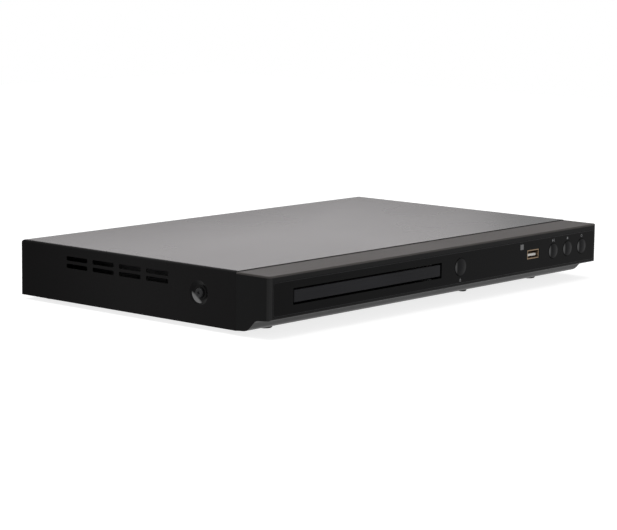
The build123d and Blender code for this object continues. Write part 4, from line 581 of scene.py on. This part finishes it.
# ------------------------------------------------------------- floor and studio
# Pale table under one wide overhead softbox, with a front fill, two low glints
# and a back rim, in a pale room. The camera sees the table and room near white.
floor_reach = 1.7
floor_tone = 0.42
floor_lift_level = 0.79
floor_mesh = bpy.data.meshes.new("studio_floor")
floor_mesh.from_pydata(
    [(-floor_reach, -floor_reach, 0.0), (floor_reach, -floor_reach, 0.0),
     (floor_reach, floor_reach, 0.0), (-floor_reach, floor_reach, 0.0)], [], [(0, 1, 2, 3)])
floor = bpy.data.objects.new("studio_floor", floor_mesh)
bpy.context.scene.collection.objects.link(floor)
floor_paper, floor_tree, floor_shader = new_finish("floor_paper")
floor_mesh.materials.append(floor_paper)
floor_shader.inputs["Base Color"].default_value = (floor_tone, floor_tone, floor_tone, 1.0)
floor_shader.inputs["Roughness"].default_value = 0.9
floor_shader.inputs["Specular IOR Level"].default_value = 0.1
floor_shader.inputs["Emission Color"].default_value = (1.0, 1.0, 1.0, 1.0)
floor_rays = add_node(floor_tree, "LightPath")
floor_mirrored = add_node(floor_tree, "Math", operation="MAXIMUM")
floor_lift = add_node(floor_tree, "Math", {1: floor_lift_level}, operation="MULTIPLY")
floor_white = add_node(floor_tree, "Emission")
floor_mix = add_node(floor_tree, "MixShader")
wire(floor_tree,
     (floor_rays, "Is Glossy Ray", floor_mirrored, 0),
     (floor_rays, "Is Transmission Ray", floor_mirrored, 1),
     (floor_rays, "Is Camera Ray", floor_lift, 0), (floor_lift, 0, floor_shader, "Emission Strength"),
     (floor_mirrored, 0, floor_mix, "Fac"), (floor_shader, 0, floor_mix, 1), (floor_white, 0, floor_mix, 2),
     (floor_mix, 0, floor_tree.nodes["Material Output"], "Surface"))


def softbox(name, at, aimed_at, width, depth, power, tint=(1.0, 1.0, 1.0)):
    """A rectangular studio lamp, hidden from the camera. Sizes in metres, power in watts."""
    lamp = bpy.data.lights.new(name, "AREA")
    lamp.shape = "RECTANGLE"
    lamp.size = width
    lamp.size_y = depth
    lamp.energy = power
    lamp.color = tint
    stand = bpy.data.objects.new(name, lamp)
    stand.location = at
    stand.rotation_euler = (Vector(aimed_at) - Vector(at)).to_track_quat("-Z", "Y").to_euler()
    stand.visible_camera = False
    bpy.context.scene.collection.objects.link(stand)


softbox("overhead", at=(-0.3, 0.2, 2.2), aimed_at=(0.0, 0.0, 0.0), width=2.4, depth=2.0, power=36.0)
softbox("front_fill", at=(-1.2, -2.2, 1.3), aimed_at=(0.0, 0.0, 0.0), width=1.6, depth=1.0, power=8.0)
softbox("corner_glint", at=(-1.3, -2.1, 0.24), aimed_at=(0.0, 0.0, 0.02), width=0.7, depth=0.3, power=5.0)
softbox("key_glint", at=(1.0, -2.1, 0.24), aimed_at=(0.0, 0.0, 0.02), width=0.6, depth=0.3, power=5.0)
softbox("back_rim", at=(1.9, 2.6, 0.85), aimed_at=(0.0, 0.0, 0.03), width=2.4, depth=0.7, power=6.0,
        tint=(1.0, 0.92, 0.94))

# The room gives less light than it shows: it is white only where it is seen.
room_level_lit = 0.35
room_level_seen = 1.0
room = bpy.data.worlds.new("pale_room")
bpy.context.scene.world = room
room.use_nodes = True
room_tree = room.node_tree
room_light = room_tree.nodes["Background"]
room_light.inputs["Color"].default_value = (1.0, 1.0, 1.0, 1.0)
room_rays = add_node(room_tree, "LightPath")
room_mirrored = add_node(room_tree, "Math", operation="MAXIMUM")
room_seen = add_node(room_tree, "Math", operation="MAXIMUM")
room_level = add_node(room_tree, "MapRange", {"To Min": room_level_lit, "To Max": room_level_seen})
wire(room_tree,
     (room_rays, "Is Camera Ray", room_mirrored, 0), (room_rays, "Is Glossy Ray", room_mirrored, 1),
     (room_mirrored, 0, room_seen, 0), (room_rays, "Is Transmission Ray", room_seen, 1),
     (room_seen, 0, room_level, "Value"), (room_level, 0, room_light, "Strength"))

# ----------------------------------------------------------------------- camera
# A long lens a metre and a half away, low, off the left front corner. Its angles
# are in degrees: its heading from +Y, how far it looks down, and its roll.
camera_place = (-1.167665, -1.000321, 0.248337)
camera_heading = -49.217
camera_dip = 8.599
camera_roll = 0.7065
lens_data = bpy.data.cameras.new("shot")
lens_data.sensor_width = 36.0
lens_data.lens = 127.66
lens_data.clip_start = 0.01
shot = bpy.data.objects.new("shot", lens_data)
bpy.context.scene.collection.objects.link(shot)
shot.matrix_world = (
    Matrix.Translation(camera_place) @ Matrix.Rotation(radians(camera_heading), 4, "Z")
    @ Matrix.Rotation(radians(90.0 - camera_dip), 4, "X") @ Matrix.Rotation(radians(camera_roll), 4, "Z"))
bpy.context.scene.camera = shot
bpy.context.scene.view_settings.view_transform = "Standard"
